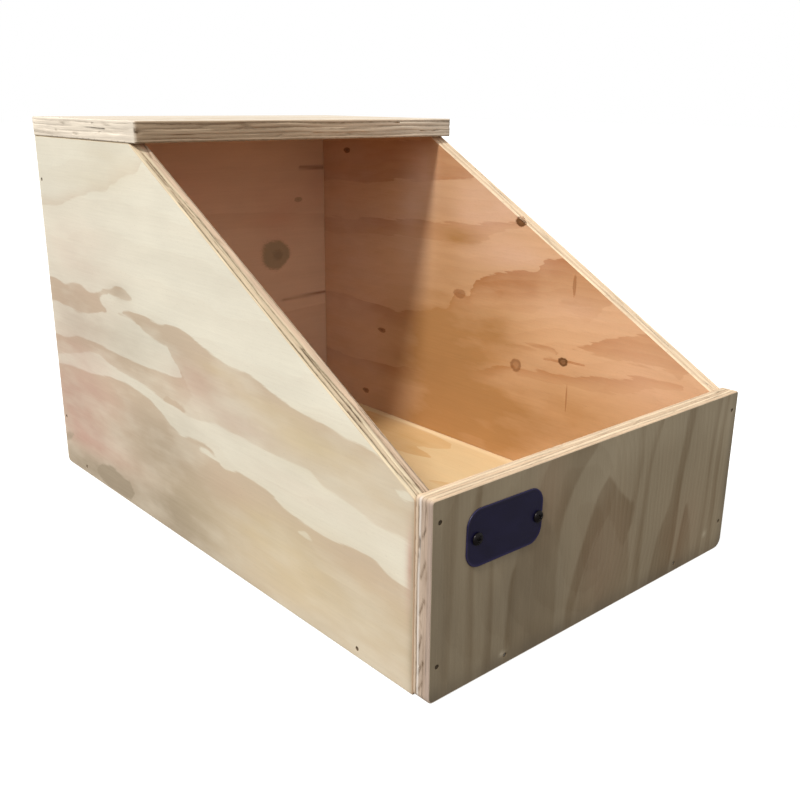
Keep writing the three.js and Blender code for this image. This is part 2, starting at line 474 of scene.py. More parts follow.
@dataclass(frozen=True)
class VeneerFinish:
    """Bare sanded face veneer.

    Attributes:
        name: name of the material
        pale: early wood
        dark: late wood
        pink: colour of a blush
        grey: colour of a dusky patch
        gold: colour of a glowing patch
        knot_wood: wood of a knot
        ring_strength: darkness of the faint growth rings
        fibre_strength: contrast of the fibres
        fray: how far the fibres fray the edge of a band, in millimetres
        fray_length: length of these fibres, in millimetres
        soft: half-width of a band's edge, in millimetres
    """

    name: str
    pale: Colour
    dark: Colour
    pink: Colour
    grey: Colour
    gold: Colour
    knot_wood: Colour = srgb(92, 58, 36)
    ring_strength: float = 0.07
    fibre_strength: float = 0.1
    fray: float = 4.0
    fray_length: float = 26
    soft: float = 0.6

    def make(self, axis: int) -> bpy.types.Material:
        """Builds the material for a grain that runs along one axis of the frame.

        Args:
            axis: the axis, 0 for X, 1 for Y and 2 for Z

        Returns:
            The material.
        """
        bench = Bench(bpy.data.materials.new(self.name))
        fray = bench.grain(axis, self.fray_length, self.fray_length / 12, 4.0, 0.6)
        frayed = bench.sum("MULTIPLY_ADD", fray, self.fray, bench.value("bands"))
        inside = bench.step(bench.sum("SUBTRACT", frayed, self.fray / 2), -self.soft, self.soft)
        uneven = bench.step(bench.grain(axis, 60, 18, 3.0), 0.25, 0.75, 0.65, 1.3)
        band = bench.times(inside, bench.value("tone"), uneven)
        ring_fray = bench.grain(axis, 90, 5, 3.0, 0.55)
        ring = bench.sum("FRACT", bench.sum("MULTIPLY_ADD", ring_fray, 0.5, bench.value("rings")))
        late = bench.times(bench.step(ring, 0.1, 0.9), bench.step(ring, 0.9, 1.0, 1.0, 0.0))
        late_share = bench.sum("ADD", band, bench.times(late, self.ring_strength), clamp=True)
        colour = bench.mix(late_share, self.pale, self.dark)
        for name, tint in (("blush", self.pink), ("dusk", self.grey), ("glow", self.gold)):
            colour = bench.mix(bench.times(bench.value(name), uneven, clamp=True), colour, tint)
        fine, broad = bench.grain(axis, 18, 0.45, 2.0, 0.6), bench.grain(axis, 55, 1.7, 3.0, 0.6)
        fibre = bench.sum("ADD", bench.times(fine, 0.5), broad)
        cloudy = bench.step(bench.grain(axis, 90, 40, 3.0), 0.25, 0.75, 0.95, 1.05)
        pore = bench.step(bench.grain(axis, 3.5, 0.3, 1.0), 0.68, 0.8)
        bright = bench.sum("MULTIPLY_ADD", fibre, -self.fibre_strength, 1 + 0.75 * self.fibre_strength)
        bright = bench.times(bright, cloudy, bench.sum("MULTIPLY_ADD", pore, -0.14, 1.0))
        colour = self.knotted(bench, bench.scaled(colour, bright), axis)
        height = bench.sum("ADD", bench.times(fibre, 0.6), bench.times(late, 0.3))
        others = {"Roughness": bench.step(broad, 0.3, 0.7, 0.6, 0.74), "Specular IOR Level": 0.25}
        return bench.principled(colour, height, (0.35, 0.25), others)

    def knotted(self, bench: Bench, colour: Socket, axis: int) -> Socket:
        """Lays the knots over the wood: a tan halo, brown wood, a dark rim and a darker heart."""
        fray = bench.sum("SUBTRACT", bench.grain(axis, 3.6, 0.9, 3.0, 0.6), 0.5)
        near = bench.sum("MULTIPLY_ADD", fray, 0.42, bench.value("knot"))
        wood = bench.times(bench.step(near, 0.1, 0.32), bench.value("wood"))
        rim = bench.times(bench.step(near, 0.08, 0.3), bench.step(near, 0.42, 0.78, 1.0, 0.0))
        rim = bench.times(rim, bench.value("rim"))
        heart = bench.times(bench.step(near, 0.6, 0.85), bench.value("heart"))
        colour = bench.mix(bench.step(near, 0.0, 0.3, 0.0, 0.5), colour, self.dark)
        for amount, brightness in ((wood, 1.0), (rim, 0.72), (heart, 0.5)):
            colour = bench.mix(amount, colour, bench.scaled(self.knot_wood[:3], brightness))
        return colour


@dataclass(frozen=True)
class PlyEdgeFinish:
    """The sawn and sanded edge of the plywood, with its layers and glue lines.

    Attributes:
        name: name of the material
        pale: long-grain layers
        deep: end-grain layers
        grey: a greyer tint for an edge
        bleached: an edge that has bleached
        glue: glue lines, gaps and torn fibres; a darker copy of it is painted shade in the deepest gaps
        contrast: how much the layers differ
        stray: darkness of the thin stray lines
        fibre: how strongly the fine grain shades the wood
    """

    name: str
    pale: Colour
    deep: Colour
    grey: Colour = srgb(176, 156, 142)
    bleached: Colour = srgb(240, 232, 222)
    glue: Colour = srgb(104, 82, 58)
    contrast: float = 0.55
    stray: float = 0.5
    fibre: float = 0.3

    def make(self) -> bpy.types.Material:
        """Builds the material on the board's own map."""
        bench = Bench(bpy.data.materials.new(self.name))
        streaks, pores = bench.edge_grain(16, 0.5, 3.0, 0.6), bench.edge_grain(1.6, 0.8, 3.0, 0.65)
        uneven = bench.step(pores, 0.2, 0.75, 0.55, 1.25)
        deep_share = bench.times(bench.value("endwood"), self.contrast, uneven)
        deep_share = bench.sum("ADD", deep_share, bench.step(streaks, 0.4, 0.85, 0.0, 0.35), clamp=True)
        colour = bench.mix(deep_share, self.pale, self.deep)
        for name, tint in (("dusk", self.grey), ("blush", self.bleached)):
            colour = bench.mix(bench.value(name), colour, tint)
        colour = bench.scaled(colour, bench.step(bench.edge_grain(45, 2.6), 0.2, 0.8, 0.86, 1.1))
        colour = bench.scaled(colour, bench.sum("MULTIPLY_ADD", streaks, -self.fibre, 1 + 0.5 * self.fibre))
        gap = bench.value("gap")
        torn = bench.step(bench.edge_grain(6, 0.8, 3.0, 0.7), 0.4, 0.65)
        line = bench.times(gap, bench.sum("MULTIPLY_ADD", torn, 0.5, 0.6), clamp=True)
        stray = bench.step(bench.edge_grain(11, 0.55, 4.0, 0.7), 0.6, 0.78, 0.0, self.stray)
        colour = bench.mix(bench.sum("MAXIMUM", line, stray), colour, self.glue)
        # Painted shade: the deepest gaps, such as voids in the core and the darkest cracks, go to a much
        # darker copy of the glue colour.
        colour = bench.mix(bench.step(gap, 0.84, 1.0), colour, bench.scaled(self.glue[:3], 0.35))
        height = bench.sum("ADD", bench.times(pores, 0.6), streaks)
        return bench.principled(colour, height, (0.5, 0.3), {"Roughness": 0.8, "Specular IOR Level": 0.2})


@dataclass(frozen=True)
class EnamelFinish:
    """Satin enamel on thin sheet metal.

    Attributes:
        name: name of the material
        paint: the enamel
        rim: a paler enamel colour, painted along the rim as a highlight
    """

    name: str
    paint: Colour
    rim: Colour

    def make(self) -> bpy.types.Material:
        """Builds the enamel: a faint orange-peel, a few pale specks and a highlight painted along the rim.
        """
        bench = Bench(bpy.data.materials.new(self.name))
        cloudy = bench.grain(0, 14, 9, 3.0)
        pale_specks = bench.step(bench.grain(0, 0.7, 0.7, 1.0), 0.74, 0.8)
        # Painted highlight: the paler rim colour follows the rim value along the plate's edge.
        colour = bench.mix(bench.times(bench.value("rim"), 0.75), self.paint, self.rim)
        colour = bench.scaled(colour, bench.step(cloudy, 0.2, 0.8, 0.85, 1.2))
        colour = bench.mix(bench.times(pale_specks, 0.2), colour, srgb(150, 150, 170))
        others = {"Roughness": bench.step(cloudy, 0.2, 0.8, 0.3, 0.42), "Specular IOR Level": 0.35}
        others |= {"Coat Weight": 0.12, "Coat Roughness": 0.2}
        return bench.principled(colour, bench.grain(0, 1.6, 1.6), (0.2, 0.06), others)


@dataclass(frozen=True)
class SteelFinish:
    """Steel, bright or blackened, with a little grime.

    Attributes:
        name: name of the material
        steel: the metal
        grime: what has settled on it
        metallic: how metallic it is
        roughness: how rough it is
    """

    name: str
    steel: Colour
    grime: Colour
    metallic: float
    roughness: float

    def make(self) -> bpy.types.Material:
        """Builds the steel with scratches and spots of grime."""
        bench = Bench(bpy.data.materials.new(self.name))
        spots = bench.step(bench.grain(0, 0.6, 0.6, 3.0, 0.65), 0.45, 0.7)
        colour = bench.mix(bench.times(spots, 0.7), self.steel, self.grime)
        rough = bench.step(spots, 0.0, 1.0, self.roughness, self.roughness + 0.25)
        others = {"Roughness": rough, "Metallic": self.metallic}
        return bench.principled(colour, bench.grain(0, 2.5, 0.12, 1.0), (0.25, 0.04), others)


def show(name: str, data: bpy.types.ID) -> bpy.types.Object:
    """Puts a mesh, a camera or a lamp into the scene as an object."""
    made = bpy.data.objects.new(name, data)
    bpy.context.scene.collection.objects.link(made)
    return made


class Patchwork:
    """Collects the points and faces of one surface."""

    def __init__(self, value_names: tuple[str, ...]) -> None:
        """Starts an empty surface whose points carry the named values."""
        self.value_names = value_names
        self.points: list[Array] = []
        self.values: dict[str, list[Array]] = {name: [] for name in value_names}
        self.faces: list[tuple[Array, Array, int]] = []
        self.count = 0

    def add_points(self, points: Array, values: Values | None = None) -> Array:
        """Adds points.

        Args:
            points: an array of three numbers a point
            values: what the points carry; a value that is left out is 0

        Returns:
            The numbers of the new points.
        """
        points = points.reshape(-1, 3)
        self.points.append(points)
        for name in self.value_names:
            given = (values or {}).get(name)
            self.values[name].append(np.zeros(len(points)) if given is None else given.ravel())
        first, self.count = self.count, self.count + len(points)
        return np.arange(first, self.count)

    def add_faces(self, corners: Array, places: Array | None = None, skin: Skin = Skin.OUTER) -> None:
        """Adds faces with as many corners as the array is wide, and their places on the map, if any."""
        spots = np.zeros(corners.shape + (2,)) if places is None else places
        self.faces.append((corners, spots, skin.value))

    def to_object(self, name: str, axes: Array, origin: Array) -> bpy.types.Object:
        """Makes the mesh and its object, without the points that no face uses.

        Args:
            name: name of the object
            axes: the surface's three directions in the frame, as rows
            origin: the surface's zero in the frame

        Returns:
            The object, at the frame's origin.
        """
        used, numbers = np.unique(np.concatenate([f[0].ravel() for f in self.faces]), return_inverse=True)
        points = np.concatenate(self.points)[used] @ axes + origin
        mirrored = np.linalg.det(axes) < 0
        polygons, places, skins = [], [], []
        start = 0
        for corners, spots, skin in self.faces:
            renamed = numbers[start : start + corners.size].reshape(corners.shape)
            start += corners.size
            if mirrored:
                renamed, spots = renamed[:, ::-1], spots[:, ::-1]
            polygons += renamed.tolist()
            places.append(spots.reshape(-1, 2))
            skins.append(np.full(len(corners), skin))
        mesh = bpy.data.meshes.new(name)
        mesh.from_pydata(points.tolist(), [], polygons)
        mesh.uv_layers.new(name="board").data.foreach_set("uv", np.concatenate(places).ravel())
        mesh.polygons.foreach_set("material_index", np.concatenate(skins))
        for value_name, chunks in self.values.items():
            layer = mesh.attributes.new(value_name, "FLOAT", "POINT")
            layer.data.foreach_set("value", np.concatenate(chunks)[used].astype(np.float32))
        mesh.shade_smooth()
        mesh.update()
        return show(name, mesh)


def stations(length: float, step: float, marks: tuple[float, ...] = ()) -> Array:
    """Places along a side: close together at both ends, then evenly spaced.

    Args:
        length: length of the side
        step: the even spacing
        marks: places that a station must fall on

    Returns:
        The places, from 0 to length.
    """
    gap, growth = 0.45 * MM, 1.45
    lead = [0.0]
    while gap < step:
        lead.append(lead[-1] + gap)
        gap *= growth
    lead_in = np.array(lead)
    middle_count = max(2, round((length - 2 * lead[-1]) / step))
    middle = np.linspace(lead[-1], length - lead[-1], middle_count + 1)[1:-1]
    places = np.concatenate([lead_in, middle, length - lead_in[::-1]])
    for mark in marks:
        places[np.argmin(np.abs(places - mark))] = mark
    return places


def soften_corner(flat: Array, corner: Array, first: Array, second: Array, reach: float) -> None:
    """Rounds one corner of a face's grid.

    A point near the corner is corner + a·first + b·second. With p = 1 - a/reach and q = 1 - b/reach it
    moves to p·√(1 - q²/2) and q·√(1 - p²/2), which lays the square's two outer sides on a quarter circle.

    Args:
        flat: the grid, changed in place
        corner: the sharp corner
        first: direction of one side, away from the corner
        second: direction of the other side
        reach: how far from the corner the rounding begins
    """
    basis = np.column_stack([first, second])
    apart = (flat - corner) @ np.linalg.inv(basis).T
    near = (apart < reach).all(axis=-1)
    p, q = (1 - apart[near] / reach).T
    moved = np.column_stack([1 - p * np.sqrt(1 - q * q / 2), 1 - q * np.sqrt(1 - p * p / 2)]) * reach
    flat[near] = corner + moved @ basis.T


TOP, FOOT, LEFT_END = (0.0, 1.0), (0.0, -1.0), (-1.0, 0.0)
ALONG, UPWARD = np.eye(2)


def loop_of(index: Array) -> Array:
    """The numbers along the outer loop of a grid: first side, last row, then back the other two."""
    return np.concatenate([index[:-1, 0], index[-1, :-1], index[:0:-1, -1], index[0, :0:-1]])


def toward(angle: Array) -> Array:
    """Unit vectors at these angles, one a row."""
    return np.column_stack([np.cos(angle), np.sin(angle)])


def sewn(first: Array, second: Array) -> Array:
    """Four-cornered faces between two closed loops of numbers or of places."""
    return np.stack([first, np.roll(first, -1, axis=0), np.roll(second, -1, axis=0), second], axis=1)


def fan(loop: Array, tip: Array) -> Array:
    """Three-cornered faces from a closed loop of numbers or of places to one tip."""
    return np.stack([loop, np.roll(loop, -1, axis=0), np.broadcast_to(tip, loop.shape)], axis=1)


@dataclass(frozen=True)
class Pit:
    """A round dip in a face, worked as rings: a nail's pocket or a knot.

    Attributes:
        centre: middle, in the board's own two directions
        radii: radii of the rings, from the widest in
        depths: how deep each ring lies
        stretch: how much wider the rings are in each of the two directions
        wobble: how uneven the rings are, as a share of their radius
        lean: how far the innermost ring's middle lies off, in the board's two directions
        near: how near each ring is to the middle, from 0 to 1
        stain: what the pit's points carry: wood, rim and heart
    """

    centre: tuple[float, float]
    radii: tuple[float, ...]
    depths: tuple[float, ...]
    stretch: tuple[float, float] = (1.0, 1.0)
    wobble: float = 0.0
    lean: tuple[float, float] = (0.0, 0.0)
    near: tuple[float, ...] = ()
    stain: tuple[float, float, float] = (0.0, 0.0, 0.0)

    def carried(self, number: int, count: int) -> Values:
        """What the points of one ring carry."""
        levels = (self.near[number], *self.stain)
        return {name: np.full(count, level) for name, level in zip(("knot", "wood", "rim", "heart"), levels)}

    def ring(self, number: int, angle: Array) -> Array:
        """Points of one ring: its middle plus its uneven, stretched radius at each angle."""
        radius = self.radii[number]
        inward = 1 - radius / self.radii[0]
        uneven = 1 + self.wobble * (np.sin(3 * angle + 1) + 0.6 * np.sin(5 * angle + 2)) * (1 - inward)
        spread = toward(angle) * np.array(self.stretch) * (radius * uneven)[:, None]
        return np.array(self.centre) + np.array(self.lean) * inward + spread

    def block(self, flat: Array) -> list[int]:
        """The part of a face's grid that the pit takes the place of.

        Args:
            flat: the grid

        Returns:
            The numbers of its first and last row, and of its first and last column.
        """
        reach = np.array(self.stretch) * self.radii[0] * (1 + 2 * self.wobble) + 0.5 * MM
        rows = flat[:, flat.shape[1] // 2, 0]
        columns = flat[np.argmin(np.abs(rows - self.centre[0])), :, 1]
        ends = []
        for line, middle, half in zip((rows, columns), self.centre, reach):
            ends.append(max(1, np.searchsorted(line, middle - half) - 1))
            ends.append(min(len(line) - 2, np.searchsorted(line, middle + half)))
        return ends


@dataclass
class PlyBoard:
    """One plywood board as a closed surface with two faces and a band of edges.

    The board's own directions are u and v in its plane and w through it, from the outer face inwards.

    Attributes:
        node: the node that the board stands for
        slot: its material slot in the record
        run: direction of u
        rise: direction of v
        inward: direction of w
        grain_on_rise: whether the grain runs along v, and not along u
        nails: start of the names of the nails in the outer face
        outer_finish: finish of the outer face
        inner_finish: finish of the inner face
        edge_finish: finish of the edges
        step: spacing of the points in the faces
        corner: radius of the rounded corners in the board's plane
        arris: radius of the eased edges
        face_ply: thickness of the two face veneers
        plies: number of layers
        splits: how many short splits its edges have
        seam: darkness of its open glue lines
        seed: picks the wander of the glue lines
    """

    node: str
    slot: str
    run: Way
    rise: Way
    inward: Way
    grain_on_rise: bool
    nails: str
    outer_finish: VeneerFinish
    inner_finish: VeneerFinish
    edge_finish: PlyEdgeFinish
    step: float = 2.2 * MM
    corner: float = 4 * MM
    arris: float = 0.9 * MM
    face_ply: float = 2.1 * MM
    plies: int = 5
    splits: int = 26
    seam: float = 0.75
    seed: int = 11
    axes: Array = field(init=False)
    origin: Array = field(init=False)
    size: Array = field(init=False)

    VALUES = (
        "bands", "tone", "rings", "blush", "dusk", "glow", "knot", "wood", "rim", "heart", "gap", "endwood",
    )
    FAINT_NAILS = ("nail_front_to_right_side", "nail_front_to_floor")

    def __post_init__(self) -> None:
        """Takes the board's origin and size from its node."""
        low, high = node_box(self.node)
        self.axes = np.array([self.run.value, self.rise.value, self.inward.value])
        signs = self.axes.sum(axis=0)
        self.origin = np.where(signs > 0, low, high)
        self.size = np.abs(self.axes @ (high - low))

    @property
    def grain_axis(self) -> int:
        """The frame's axis that the grain runs along."""
        return (self.rise if self.grain_on_rise else self.run).axis

    def outer_veneer(self) -> Veneer:
        """The figure of the outer face."""
        return Veneer(seed=self.seed)

    def inner_veneer(self) -> Veneer:
        """The figure of the inner face."""
        return Veneer(seed=self.seed + 5)

    def top_edge(self, run: Array) -> Array:
        """Height of the board's top edge at places along its run."""
        return np.full_like(run, self.size[1])

    def bends(self) -> tuple[float, ...]:
        """Places along the run where the top edge bends."""
        return ()

    def corner_radius(self, i: int, j: int) -> float:
        """Radius of the corner at this end of the run and of the rise, 0 or -1 each."""
        return self.corner

    def round_corners(self, flat: Array) -> None:
        """Rounds the four corners of the face's grid."""
        for i, first in ((0, ALONG), (-1, -ALONG)):
            for j, second in ((0, UPWARD), (-1, -UPWARD)):
                reach = self.corner_radius(i, j) - self.arris
                if reach > 0:
                    soften_corner(flat, flat[i, j].copy(), first, second, reach)

    def flat_grid(self) -> Array:
        """The face's points in its plane, one eased edge inside the board's outline.

        A point is (u, v) with v a share of the height of the top edge above u.
        """
        a = self.arris
        span = self.size - 2 * a
        run = stations(span[0], self.step, tuple(bend - a for bend in self.bends())) + a
        rise = stations(span[1], self.step) / span[1]
        height = self.top_edge(run) - 2 * a
        flat = np.stack(np.broadcast_arrays(run[:, None], a + rise * height[:, None]), axis=-1).copy()
        self.round_corners(flat)
        return flat

    def cracks(self) -> tuple[Crack, ...]:
        """Dark lines in the board's edges, listed one by one."""
        return ()

    def edge_tints(self, loop: Array, normal: Array, depth: Array) -> Values:
        """Other tints of the board's edges, as rows of places; none in most boards."""
        return {}

    def grain_place(self, flat: Array) -> tuple[Array, Array]:
        """Millimetres along and across the grain, from the box's lower left front corner."""
        here = flat @ self.axes[:2] + self.origin - BOX_CORNER
        ways = (self.rise, self.run) if self.grain_on_rise else (self.run, self.rise)
        return here[..., ways[0].axis] / MM, here[..., ways[1].axis] / MM

    def nail_pits(self) -> list[Pit]:
        """The pockets over the nails that go in through the outer face."""
        radii = tuple(np.array([2.1, 1.5, 1.38, 1.3, 1.25, 0.5]) * MM)
        depths = tuple(np.array([0.0, 0.01, 0.06, 0.4, 0.9, 0.95]) * MM)
        near = (0.0, 0.1, 0.3, 0.4, 0.4, 0.4)
        pits = []
        for name in sorted(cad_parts):
            if self.nails and name.startswith(self.nails):
                middle = self.axes @ (sum(node_box(name)) / 2 - self.origin)
                dark = 0.35 if name.startswith(self.FAINT_NAILS) else 0.9
                stain = (dark, 0.7 * dark, 0.0)
                pits.append(Pit(tuple(middle[:2]), radii, depths, wobble=0.04, near=near, stain=stain))
        return pits

    def knot_pits(self, veneer: Veneer) -> list[Pit]:
        """The rings of the knots of one face."""
        corner = (self.axes @ (self.origin - BOX_CORNER))[:2]
        radius_shares = np.array([1.3, 1.1, 0.98, 0.85, 0.7, 0.52, 0.34, 0.16])
        depths = tuple(np.array([0.0, 0.04, 0.12, 0.1, 0.08, 0.1, 0.16, 0.24]) * MM)
        near = tuple(1 - radius_shares / radius_shares[0])
        turn = -1 if self.grain_on_rise else 1
        pits = []
        for knot in veneer.knots:
            spot, lean = (np.array(pair[::turn]) * MM for pair in (knot.middle, knot.lean))
            radii, stretch = tuple(radius_shares * knot.radius * MM), (knot.stretch, 1.0)[::turn]
            stain = (knot.wood, knot.rim, knot.heart)
            pits.append(Pit(tuple(spot - corner), radii, depths, stretch, 0.05, tuple(lean), near, stain))
        return pits

    def add_face(self, work: Patchwork, flat: Array, skin: Skin) -> Array:
        """Adds one face with its pits.

        Args:
            work: the board's surface so far
            flat: the grid of the face in its plane
            skin: OUTER or INNER

        Returns:
            The numbers of the points along the face's outer loop.
        """
        outer = skin is Skin.OUTER
        veneer = self.outer_veneer() if outer else self.inner_veneer()
        level, dip = (0.0, 1.0) if outer else (self.size[2], -1.0)
        count_u, count_v = flat.shape[:2]

        def lay(points: Array, depth: float, extra: Values) -> Array:
            """Adds points at a depth below the face, with the figure there."""
            along, across = self.grain_place(points)
            height = np.full(points.shape[:-1] + (1,), level + dip * depth)
            values = veneer.figure(along, across) | extra
            return work.add_points(np.concatenate([points, height], axis=-1), values)

        index = lay(flat, 0.0, {}).reshape(count_u, count_v)
        places = flat.reshape(-1, 2)
        keep = np.ones((count_u - 1, count_v - 1), dtype=bool)
        for pit in (self.nail_pits() if outer else []) + self.knot_pits(veneer):
            i0, i1, j0, j1 = pit.block(flat)
            keep[i0:i1, j0:j1] = False
            last = loop_of(index[i0 : i1 + 1, j0 : j1 + 1])
            last_points = places[last - index[0, 0]]
            angle = np.arctan2(*(last_points - np.array(pit.centre)).T[::-1])
            for number, depth in enumerate(pit.depths):
                points = pit.ring(number, angle)
                ring = lay(points, depth, pit.carried(number, len(angle)))
                self.add_turned(work, sewn(last, ring), sewn(last_points, points), skin)
                last, last_points = ring, points
            middle = last_points.mean(axis=0, keepdims=True)
            tip = lay(middle, pit.depths[-1], pit.carried(-1, 1))
            self.add_turned(work, fan(last, tip), fan(last_points, middle), skin)
        i, j = np.nonzero(keep)
        corners = np.column_stack([index[i, j], index[i + 1, j], index[i + 1, j + 1], index[i, j + 1]])
        self.add_turned(work, corners, places[corners - index[0, 0]], skin)
        return loop_of(index)

    def add_turned(self, work: Patchwork, corners: Array, spots: Array, skin: Skin) -> None:
        """Adds faces that look along +w, turned round where they belong to the outer face."""
        if skin is Skin.OUTER:
            corners, spots = corners[:, ::-1], spots[:, ::-1]
        work.add_faces(corners, spots, skin)

    def glue_levels(self) -> Array:
        """How deep the glue lines lie under the outer face."""
        core = (self.size[2] - 2 * self.face_ply) / (self.plies - 2)
        return self.face_ply + core * np.arange(self.plies - 1)

    def edge_rows(self) -> tuple[Array, Array, Array]:
        """The rows of points across the edge.

        Returns:
            For each row its depth under the outer face, how far it lies out from the face's grid, and how
            much it belongs to a glue line, from 0 to 1.
        """
        a, thick = self.arris, self.size[2]
        beside_glue = 0.22 * MM
        turn = np.radians([22.5, 45, 67.5, 90])
        ease_depth, ease_out = a * (1 - np.cos(turn)), a * np.sin(turn)
        glue = self.glue_levels()
        bounds = np.concatenate([[a], glue, [thick - a]])
        depths, lines = [], []
        for number, (start, end) in enumerate(zip(bounds[:-1], bounds[1:])):
            inner = np.linspace(start, end, 6)[1:-1]
            inner[0], inner[-1] = start + beside_glue, end - beside_glue
            depths += inner.tolist()
            lines += [0.0] * len(inner)
            if number < len(glue):
                depths.append(end)
                lines.append(1.0)
        depth = np.concatenate([ease_depth, depths, thick - ease_depth[::-1]])
        out = np.concatenate([ease_out, np.full(len(depths), a), ease_out[::-1]])
        line = np.concatenate([np.zeros(len(turn)), lines, np.zeros(len(turn))])
        return depth, out, line

    def add_edges(self, work: Patchwork, flat: Array, outer: Array, inner: Array) -> None:
        """Adds the band of edges between the loops of the two faces.

        A point of the band is the loop's point plus its outward normal times the row's reach, less the
        relief there. The rows follow the glue lines, which wander through the board.

        Args:
            work: the board's surface so far
            flat: the grid of the faces
            outer: numbers of the outer face's loop
            inner: numbers of the inner face's loop
        """
        wander_height, wander_length, calm = 0.42 * MM, 0.13, 1.8 * MM
        index = np.arange(flat.shape[0] * flat.shape[1]).reshape(flat.shape[:2])
        loop = flat.reshape(-1, 2)[loop_of(index)]
        ahead = np.roll(loop, -1, axis=0) - loop
        tangent = np.roll(loop, -1, axis=0) - np.roll(loop, 1, axis=0)
        tangent /= np.linalg.norm(tangent, axis=1, keepdims=True)
        normal = np.column_stack([tangent[:, 1], -tangent[:, 0]])
        lengths = np.linalg.norm(ahead, axis=1)
        whole = lengths.sum()
        run = np.concatenate([[0.0], np.cumsum(lengths)[:-1]])
        run_next = np.append(run[1:], whole)
        depth, out, line = self.edge_rows()
        layer = np.searchsorted(self.glue_levels(), depth)
        across_grain = np.abs(normal[:, 0 if self.grain_on_rise else 1])
        endwood = np.where(layer[:, None] % 2 == 0, 1 - across_grain[None, :], across_grain[None, :])
        relief, gap = self.relief(run, whole, depth, line, endwood)
        for crack in self.cracks():
            near = crack.read(loop, normal, depth)
            relief = relief + crack.dip * MM * near
            gap = np.maximum(gap, crack.darkness * near)
        inside = smooth(depth, self.arris, calm) * smooth(self.size[2] - depth, self.arris, calm)
        seeds = self.seed + 31 + np.arange(self.plies)
        wander = np.stack([waver(run, seed, wander_length) for seed in seeds.tolist()])
        shift = wander_height * inside[:, None] * wander[np.minimum(layer, self.plies - 2)]
        places = loop[None, :, :] + normal[None, :, :] * (out[:, None] - relief)[..., None]
        points = np.concatenate([places, (depth[:, None] + shift)[..., None]], axis=-1)
        values = {"gap": gap, "endwood": endwood} | self.edge_tints(loop, normal, depth)
        rows = work.add_points(points, values).reshape(len(depth), len(loop))
        rows = np.vstack([outer[None, :], rows, inner[None, :]])
        corners = np.concatenate([sewn(lower, upper) for lower, upper in zip(rows[:-1], rows[1:])])
        levels = np.concatenate([[0.0], depth, [self.size[2]]])
        u = np.column_stack([run, run_next, run_next, run])
        v = np.column_stack([levels[:-1], levels[:-1], levels[1:], levels[1:]])
        spots = np.stack(np.broadcast_arrays(u[None], v[:, None]), axis=-1).reshape(-1, 4, 2)
        work.add_faces(corners, spots, Skin.EDGE)

    def relief(
        self, run: Array, whole: float, depth: Array, line: Array, endwood: Array
    ) -> tuple[Array, Array]:
        """How far each point of the band lies below the sanded edge, and how dark it is for it.

        The relief is the sum of a groove on each glue line that opens and closes along the edge, of the
        softer end grain that the sander dug out, and of splits and torn places drawn from the seed. It
        eases to nothing near the loop's start and end, where the band closes.

        Args:
            run: places along the loop
            whole: length of the loop
            depth: depth of each row
            line: how much each row belongs to a glue line
            endwood: end grain at each point

        Returns:
            The relief and the darkness, both as rows of places.
        """
        groove, dug, split_dip, tear_dip = 0.2 * MM, 0.07 * MM, 0.4 * MM, 0.5 * MM
        draw = np.random.default_rng(self.seed + 77)
        closing = smooth(np.minimum(run, whole - run), 0, 12 * MM)[None, :]
        glue = self.glue_levels()
        opened = np.zeros((len(depth), len(run)))
        for number, level in enumerate(glue):
            opening = np.clip(0.3 + 1.1 * waver(run, self.seed + 3 * number, 0.17, 5), 0, 1)
            opened[(np.abs(depth - level) < 0.05 * MM) & (line > 0)] = opening * closing[0]
        relief = groove * opened + dug * endwood * closing
        gap = self.seam * opened
        for place in draw.uniform(0.02 * whole, 0.98 * whole, self.splits):
            length, height = draw.uniform(2.5, 7) * MM, draw.uniform(0.4, 0.9) * MM
            middle = draw.uniform(glue[0] + 0.6 * MM, glue[-1] - 0.6 * MM)
            off = (depth - middle)[:, None] - draw.uniform(-0.25, 0.25) * (run - place)[None, :]
            split = np.exp(-(((run - place) / length) ** 2))[None, :] * np.exp(-((off / height) ** 2))
            relief += split_dip * split
            gap += 0.55 * split
        torn = np.clip(waver(run, self.seed + 91, 9 * MM, 3) - 0.5, 0, 1)[None, :]
        near_face = np.exp(-(((self.size[2] - depth) - 0.6 * MM) / (0.5 * MM)) ** 2)[:, None]
        tear = torn * near_face * closing
        return relief + tear_dip * tear, np.clip(gap + 1.1 * tear, 0, 1)

    def build(self) -> bpy.types.Object:
        """Builds the board, dresses it and puts it in place of its node."""
        work = Patchwork(self.VALUES)
        flat = self.flat_grid()
        outer = self.add_face(work, flat, Skin.OUTER)
        inner = self.add_face(work, flat, Skin.INNER)
        self.add_edges(work, flat, outer, inner)
        piece = work.to_object(self.node + "_ply", self.axes, self.origin)
        for finish in (self.outer_finish, self.inner_finish):
            piece.data.materials.append(finish.make(self.grain_axis))
        piece.data.materials.append(self.edge_finish.make())
        settle(piece, self.slot, self.node)
        return piece


def settle(piece: bpy.types.Object, slot: str, *nodes: str) -> None:
    """Puts a piece in place of its nodes and reports it.

    Args:
        piece: the finished piece
        slot: the record's material slot, which is not used
        nodes: the nodes that it stands for
    """
    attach(piece, "root")
    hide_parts(*nodes)
    LOG.info("%s: %d points, %d faces", piece.name, len(piece.data.vertices), len(piece.data.polygons))


